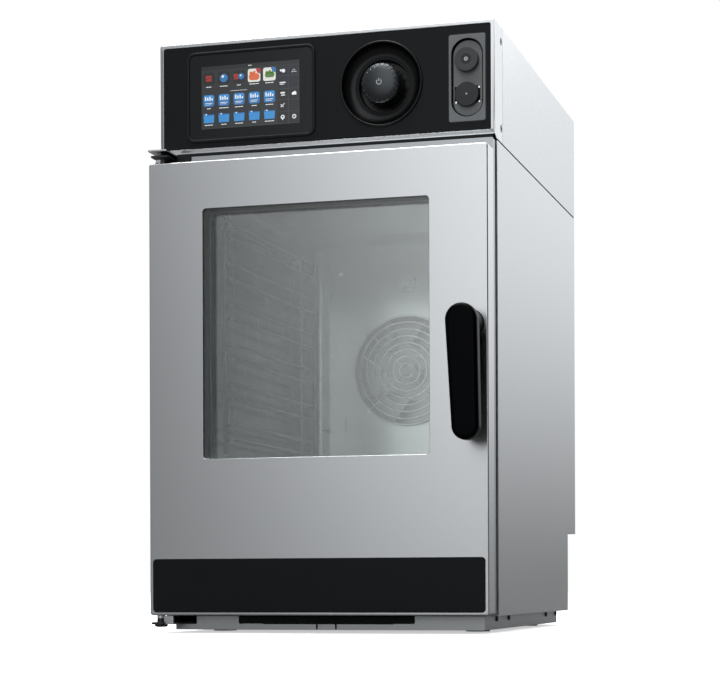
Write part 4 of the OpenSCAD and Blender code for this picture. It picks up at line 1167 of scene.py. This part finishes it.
def addPanes():
    for name, node, material in (("outerPane", "door_outer_glass", doorGlass),
                                 ("innerPane", "door_inner_glass", coatedGlass)):
        _, _, y0, y1, _, _ = reach(node)
        pane = plate(name, [roundBox2(frontBox(node), 7)], y0, y1, material, 0.4, 1)
        place(pane, "door", "door_glass", node)
    paint(spacerSteel, "glass_spacer")


def addKick():
    _, _, y0, y1, _, _ = reach("kick_strip")
    strip = plate("kickPlate", [roundBox2(frontBox("kick_strip"), 5.5, 8)], y0, y1, blackLacquer, 0.25, 2)
    place(strip, "door", "black_fascia", "kick_strip")


def linkLoop(a, ra, b, rb, y, steps=20):
    # outline of two circles and the sides that join them, as one loop
    run = Vector(b) - Vector(a)
    lean = math.acos((ra - rb) / run.length)
    heading = math.atan2(run.y, run.x)
    loop = []
    for k in range(steps + 1):
        angle = heading + lean + (math.tau - 2 * lean) * k / steps
        loop.append((a[0] + ra * math.cos(angle), y, a[1] + ra * math.sin(angle)))
    for k in range(steps + 1):
        angle = heading - lean + 2 * lean * k / steps
        loop.append((b[0] + rb * math.cos(angle), y, b[1] + rb * math.sin(angle)))
    return loop


def addHandle():
    made = {"pivot": (229, 428.5), "tip": (234.5, 283), "big": 22.7, "small": 19.6, "front": -98,
            "back": -78, "round": 6.5, "hub": 20.5, "spindle": 6}
    pivot, tip = made["pivot"], made["tip"]
    big, small, front, back = made["big"], made["small"], made["front"], made["back"]
    rows = []
    for inset, y in edgeArc(made["round"], front, 8):
        rows.append(linkLoop(pivot, big - inset, tip, small - inset, y))
    for inset, y in reversed(edgeArc(2, 0, 4)):
        rows.append(linkLoop(pivot, big - inset, tip, small - inset, back - y))
    lever = loft("handleLever", rows, handleBlack, firstCap=True, lastCap=True, sharp=30)
    hub = turned("handleHub", [(0, back - 1), (15, back - 1), (15, back), (17.4, -75), (18.6, -66),
                               (19.2, -52), (20.1, -47), (made["hub"], -44.6),
                               (0, -44.6)], pivot, handleBlack, 64)
    rod = turned("handleSpindle", [(0, -46.2), (made["spindle"], -46.2), (made["spindle"], 7.4), (5.4, 8),
                                   (0, 8)], pivot, millSteel, 32)
    cam = loft("handleCam", [linkLoop(pivot, 8, (229, 419.5), 4, y) for y in (2, 8)], millSteel,
               firstCap=True, lastCap=True)
    place(joined("handleLever", [lever, hub]), "handle", "gloss_black", "door_handle")
    place(joined("handleSpindle", [rod, cam]), "handle", "hinge_steel")


# ---- cavity ----

def cavityLoop(by, y, steps=8):
    return roundLoop(grown(frontBox("cavity_liner"), by - 2), 16 + by, y, steps)


def addCavity():
    made = {"front": -2, "back": 490}
    rows = [cavityLoop(0, made["front"]), cavityLoop(0, made["back"] - 14)]
    for k in range(1, 6):
        t = math.radians(90 * k / 5)
        rows.append(cavityLoop(-14 * (1 - math.cos(t)), made["back"] - 14 + 14 * math.sin(t)))
    shell = loft("cavityShell", rows, cavitySteel, lastCap=True, sharp=50)
    shell.data.flip_normals()
    outer = loft("cavityOuter", [cavityLoop(2, made["front"]), cavityLoop(2, made["back"] + 2)],
                 cavitySteel, lastCap=True)
    lip = loft("cavityLip", [cavityLoop(0, made["front"]), cavityLoop(2, made["front"])], cavitySteel)
    place(joined("cavityLiner", [shell, outer, lip]), "cabinet", "polished_steel", "cavity_liner")


def addGasket():
    made = {"inner": 13, "outer": 25, "front": -8.7, "back": -2}
    rows = []
    middle = (made["inner"] + made["outer"]) / 2
    half = (made["outer"] - made["inner"]) / 2
    for k in range(13):
        t = math.pi * k / 12
        rows.append(cavityLoop(middle - half * math.cos(t),
                               made["back"] - (made["back"] - made["front"]) * math.sin(t)))
    gasket = loft("doorGasket", rows, blackSilicone, closed=True, sharp=60)
    place(gasket, "cabinet", "silicone", "door_gasket")


def addRacks():
    made = {"runner": 163.5, "post": 176, "wire": 2.5, "levels": 6, "pitch": 60, "first": 284, "tilt": 22,
            "front": 45, "rear": 410, "posts": (60, 395), "top": 612}
    x, post, thick, first = made["runner"], made["post"], made["wire"], made["first"]
    # runners and hoop take the darker steel, which is painted shade; stubs and noses keep the bright wire
    # steel
    rungs = []
    for z in (first, first + made["tilt"]):
        runner = wire("runnerWire", [(x, made["front"], z), (x, made["rear"], z)], thick, shadedRackSteel)
        stubs = [wire("stub", [(x, y, z), (post, y, z)], thick, brightWire) for y in made["posts"]]
        nose = wire("nose", [(x, made["front"] - 0.2, z), (x, made["front"] + 12, z)], thick + 0.05,
                    brightWire)
        rungs.append((runner, stubs + [nose]))
    runners = joined("rackPair", [rung[0] for rung in rungs])
    bright = joined("rackStubs", [part for rung in rungs for part in rung[1]])
    step = {"Count": made["levels"], "Step": (0, 0, made["pitch"])}
    rows = [copied("rackLevels", copiesInRow, runners, shadedRackSteel, **step),
            copied("rackStubs", copiesInRow, bright, brightWire, **step)]
    low = first - 22
    hoop = [(post, made["posts"][0], low), (post, made["posts"][0], made["top"]),
            (post, made["posts"][1], made["top"]), (post, made["posts"][1], low)]
    rows.append(wire("rackHoop", filleted(hoop, 10), thick + 0.4, shadedRackSteel))
    right = joined("rackRight", rows)
    left = mirrored("rackLeft", right)
    place(right, "cabinet", "polished_steel", "rack_right")
    place(left, "cabinet", "polished_steel", "rack_left")


def fanCentre():
    return 0, middleOf("fan_wheel")[1]


def addGrille():
    made = {"count": 7, "first": 12, "step": 11.5, "wire": 1.5, "rim": 91.5, "rimWire": 2, "y": 424}
    x, z = fanCentre()
    y = made["y"]
    rings = runTree("grilleRings", wireRings, {"Count": made["count"], "First": float(made["first"]),
                                               "Step": made["step"],
                                             "Wire": made["wire"], "Centre": (x, y, z)}, brightWire)
    rim = runTree("grilleRim", wireRings, {"Count": 1, "First": made["rim"], "Step": 1.0,
                                           "Wire": float(made["rimWire"]),
                                          "Centre": (x, y, z)}, brightWire)
    spokes = []
    for angle in (45, 135):
        dx, dz = 90 * math.cos(math.radians(angle)), 90 * math.sin(math.radians(angle))
        spokes.append(wire("spoke", [(x - dx, y + 2.4, z - dz), (x + dx, y + 2.4, z + dz)], made["wire"],
                           brightWire))
    lug = plate("lug", [roundBox2((-6, 91, 6, 108), 4, 5)], 427.4, 429, brightWire, 0.3)
    screw = turned("lugScrew", [(0, 425.6), (2.6, 425.6), (4, 426.4), (4, 427.6), (0, 427.6)], (0, 100),
                   brightWire, 20)
    tab = joined("grilleLug", [lug, screw])
    tab.data.transform(Matrix.Rotation(math.radians(45), 4, "Y"))
    tab.data.transform(Matrix.Translation((x, 0, z)))
    lugs = copied("grilleLugs", copiesRound, tab, brightWire, Count=4, Centre=(x, 0, z))
    place(joined("fanGrille", [rings, rim, lugs] + spokes), "cabinet", "polished_steel", "fan_grille")


def addBaffleTrim():
    post = turned("post", [(0, 424.4), (5.6, 424.4), (7, 425.4), (7, 429), (6, 429), (6, 490), (0, 490)],
                  (0, 0), brightWire, 32)
    spots = [(x, 0, z) for x in (-120, 120) for z in (275, 595)]
    place(copied("bafflePosts", copiesAtSpots, post, brightWire, spots), "cabinet", "polished_steel",
          "baffle_posts")
    nozzle = turned("sprayNozzle", [(0, 421.6), (2, 421.6), (2.6, 420), (6.6, 420), (8, 421.4), (8, 426),
                                    (14.6, 426), (16, 427), (16, 429),
                                    (0, 429)], (0, middleOf("spray_nozzle")[1]), brightWire, 48)
    place(nozzle, "cabinet", "polished_steel", "spray_nozzle")
    x0, x1, y0, _, z0, z1 = reach("fan_baffle")
    folds = [wire("baffleFold", [(x, y0 + 1.3, z0 + 0.5), (x, y0 + 1.3, z1 - 0.5)], 1.25, brightWire)
             for x in (x0 + 1.3, x1 - 1.3)]
    place(joined("baffleFolds", folds), "cabinet", "polished_steel")


def addWheel():
    made = {"blades": 8, "front": 440, "back": 478, "outer": 100, "eye": 90, "shaft": 540, "bladeLean": 35,
            "bladeFoot": 45, "bladeLong": 56}
    x, z = fanCentre()
    front, back, outer, eye = made["front"], made["back"], made["outer"], made["eye"]
    hub = turned("wheelHub", [(0, 436), (8.6, 436), (10, 437.4), (10, 444), (15, 444), (16, 445),
                              (16, back - 2), (outer, back - 2), (outer, back), (6, back),
                              (6, made["shaft"]), (0, made["shaft"])],
                 (x, z), millSteel, 72)
    rim = turned("wheelRim", [(eye, front + 0.6), (eye + 0.6, front), (outer, front), (outer, front + 2),
                              (eye, front + 2), (eye, front + 0.6)], (x, z), millSteel, 72)
    blade = boxPiece("blade", (-1, 1, front + 2, back - 2, 0, made["bladeLong"]), millSteel, 0.3)
    blade.data.transform(Matrix.Rotation(math.radians(made["bladeLean"]), 4, "Y"))
    blade.data.transform(Matrix.Translation((x, 0, z + made["bladeFoot"])))
    blades = copied("wheelBlades", copiesRound, blade, millSteel, Count=made["blades"], Centre=(x, 0, z))
    place(joined("fanWheel", [hub, rim, blades]), "fan", "plain_steel", "fan_wheel")


def addElement():
    made = {"radii": (118, 128), "depths": (448, 460), "leads": (10, 30), "wire": 4, "end": 534}
    x, z = fanCentre()
    parts = []
    for radius, y, lead in zip(made["radii"], made["depths"], made["leads"]):
        start = math.asin(lead / radius)
        turns = [start + (math.tau - 2 * start) * k / 90 for k in range(91)]
        ring = [(x + radius * math.sin(a), y, z - radius * math.cos(a)) for a in turns]
        first, last = [(end[0], made["end"], end[2]) for end in (ring[0], ring[-1])]
        parts.append(wire("elementRing", [first] + ring + [last], made["wire"], oxideSteel))
    place(joined("heatingElement", parts), "cabinet", "dark_steel", "heating_element")


# ---- hinges ----

def addHinges():
    left, right = -254.8, -226
    topPlate = boxPiece("topPlate", (left, right, -45, 1.4, 697.6, 700.6), brightWire, 0.8)
    place(joined("topHinge", [topPlate]), "cabinet", "hinge_steel", "top_hinge")
    # the black flange is painted shade in the gap above the door by the hinge; the guide is dark oxide steel
    dark = [boxPiece("topGuide", (left + 1.6, -227, -38, -2, 690.5, 693.7), oxideSteel, 0.5),
            boxPiece("topFlange", (left + 2.6, -205, -4.1, -2, 684, 697.6), blackPlastic, 0.3)]
    place(joined("topGuide", dark), "cabinet", "hinge_steel")
    low = boxPiece("lowKnuckle", (-238.7, -224, -30, 4, 8.5, 21), brightWire, 0.6)
    place(low, "cabinet", "hinge_steel", "bottom_hinge")
    # the bracket's arm, side and back are black: painted shade under the base; the lower plate is dark oxide
    # steel
    arms = [boxPiece("lowPlate", (left, -238.9, -38, 4, 8.5, 12), oxideSteel, 0.5),
            boxPiece("lowArm", (-236.1, -206, 4, 73.6, 8.5, 12), blackPlastic, 0.3),
            boxPiece("lowSide", (-236.1, -233.1, 4, 73.6, 8.5, 20), blackPlastic, 0.3),
            boxPiece("lowBack", (-236.1, -203.4, 70.6, 73.6, 8.5, 20), blackPlastic, 0.3)]
    place(joined("lowArm", arms), "cabinet", "hinge_steel")
    addPins()


def addPins():
    # upper pin with its six-sided nut, lower bolt with a domed head and a plated washer
    made = {"x": -245, "y": -25, "nut": 7.2, "washer": 6}
    axis = Matrix.Translation((made["x"], made["y"], 0)) @ quarterTurn("X")

    def upright(name, profile, material, count=32):
        piece = turned(name, profile, (0, 0), material, count)
        piece.data.transform(axis)
        return piece

    pin = upright("upperPin", [(0, 668), (3.4, 668), (4, 668.6), (4, 697.4), (0, 697.4)], brightWire)
    nut = upright("upperNut", [(4, 684.9), (6.8, 684.9), (made["nut"], 685.5), (made["nut"], 689.8),
                               (6.8, 690.4), (4, 690.4)],
                  machinedSteel, 6)
    place(joined("upperPin", [pin, nut]), "cabinet", "hinge_steel", "hinge_pins")
    bolt = upright("lowerBolt", [(0, 4.7), (6.5, 4.7), (8.4, 5.3), (9.5, 6.6), (9.5, 8.5), (4, 8.5),
                                 (4, 35), (0, 35)], oxideSteel)
    washer = upright("lowerWasher", [(4, 12), (made["washer"], 12), (made["washer"], 17.5), (4, 17.5)],
                     oxideSteel)
    place(joined("lowerBolt", [bolt, washer]), "cabinet", "hinge_steel")
    shim = upright("lowerShim", [(4, 17.6), (6, 17.6), (6, 21.6), (4, 21.6)], brightWire)
    place(shim, "cabinet", "hinge_steel")


addCamera()
addStudio()
addCasing()
addSides()
addBezel()
addScrews()
addFeet()
print("casing trimmed")
addFascia()
addScreen()
addDisplay()
addDish()
addKnob()
addPorts()
addCaps()
print("header fitted")
addDoor()
addPanes()
addKick()
addHandle()
print("door hung")
addCavity()
addGasket()
addRacks()
addGrille()
addBaffleTrim()
addWheel()
addElement()
addHinges()
print("cavity fitted")
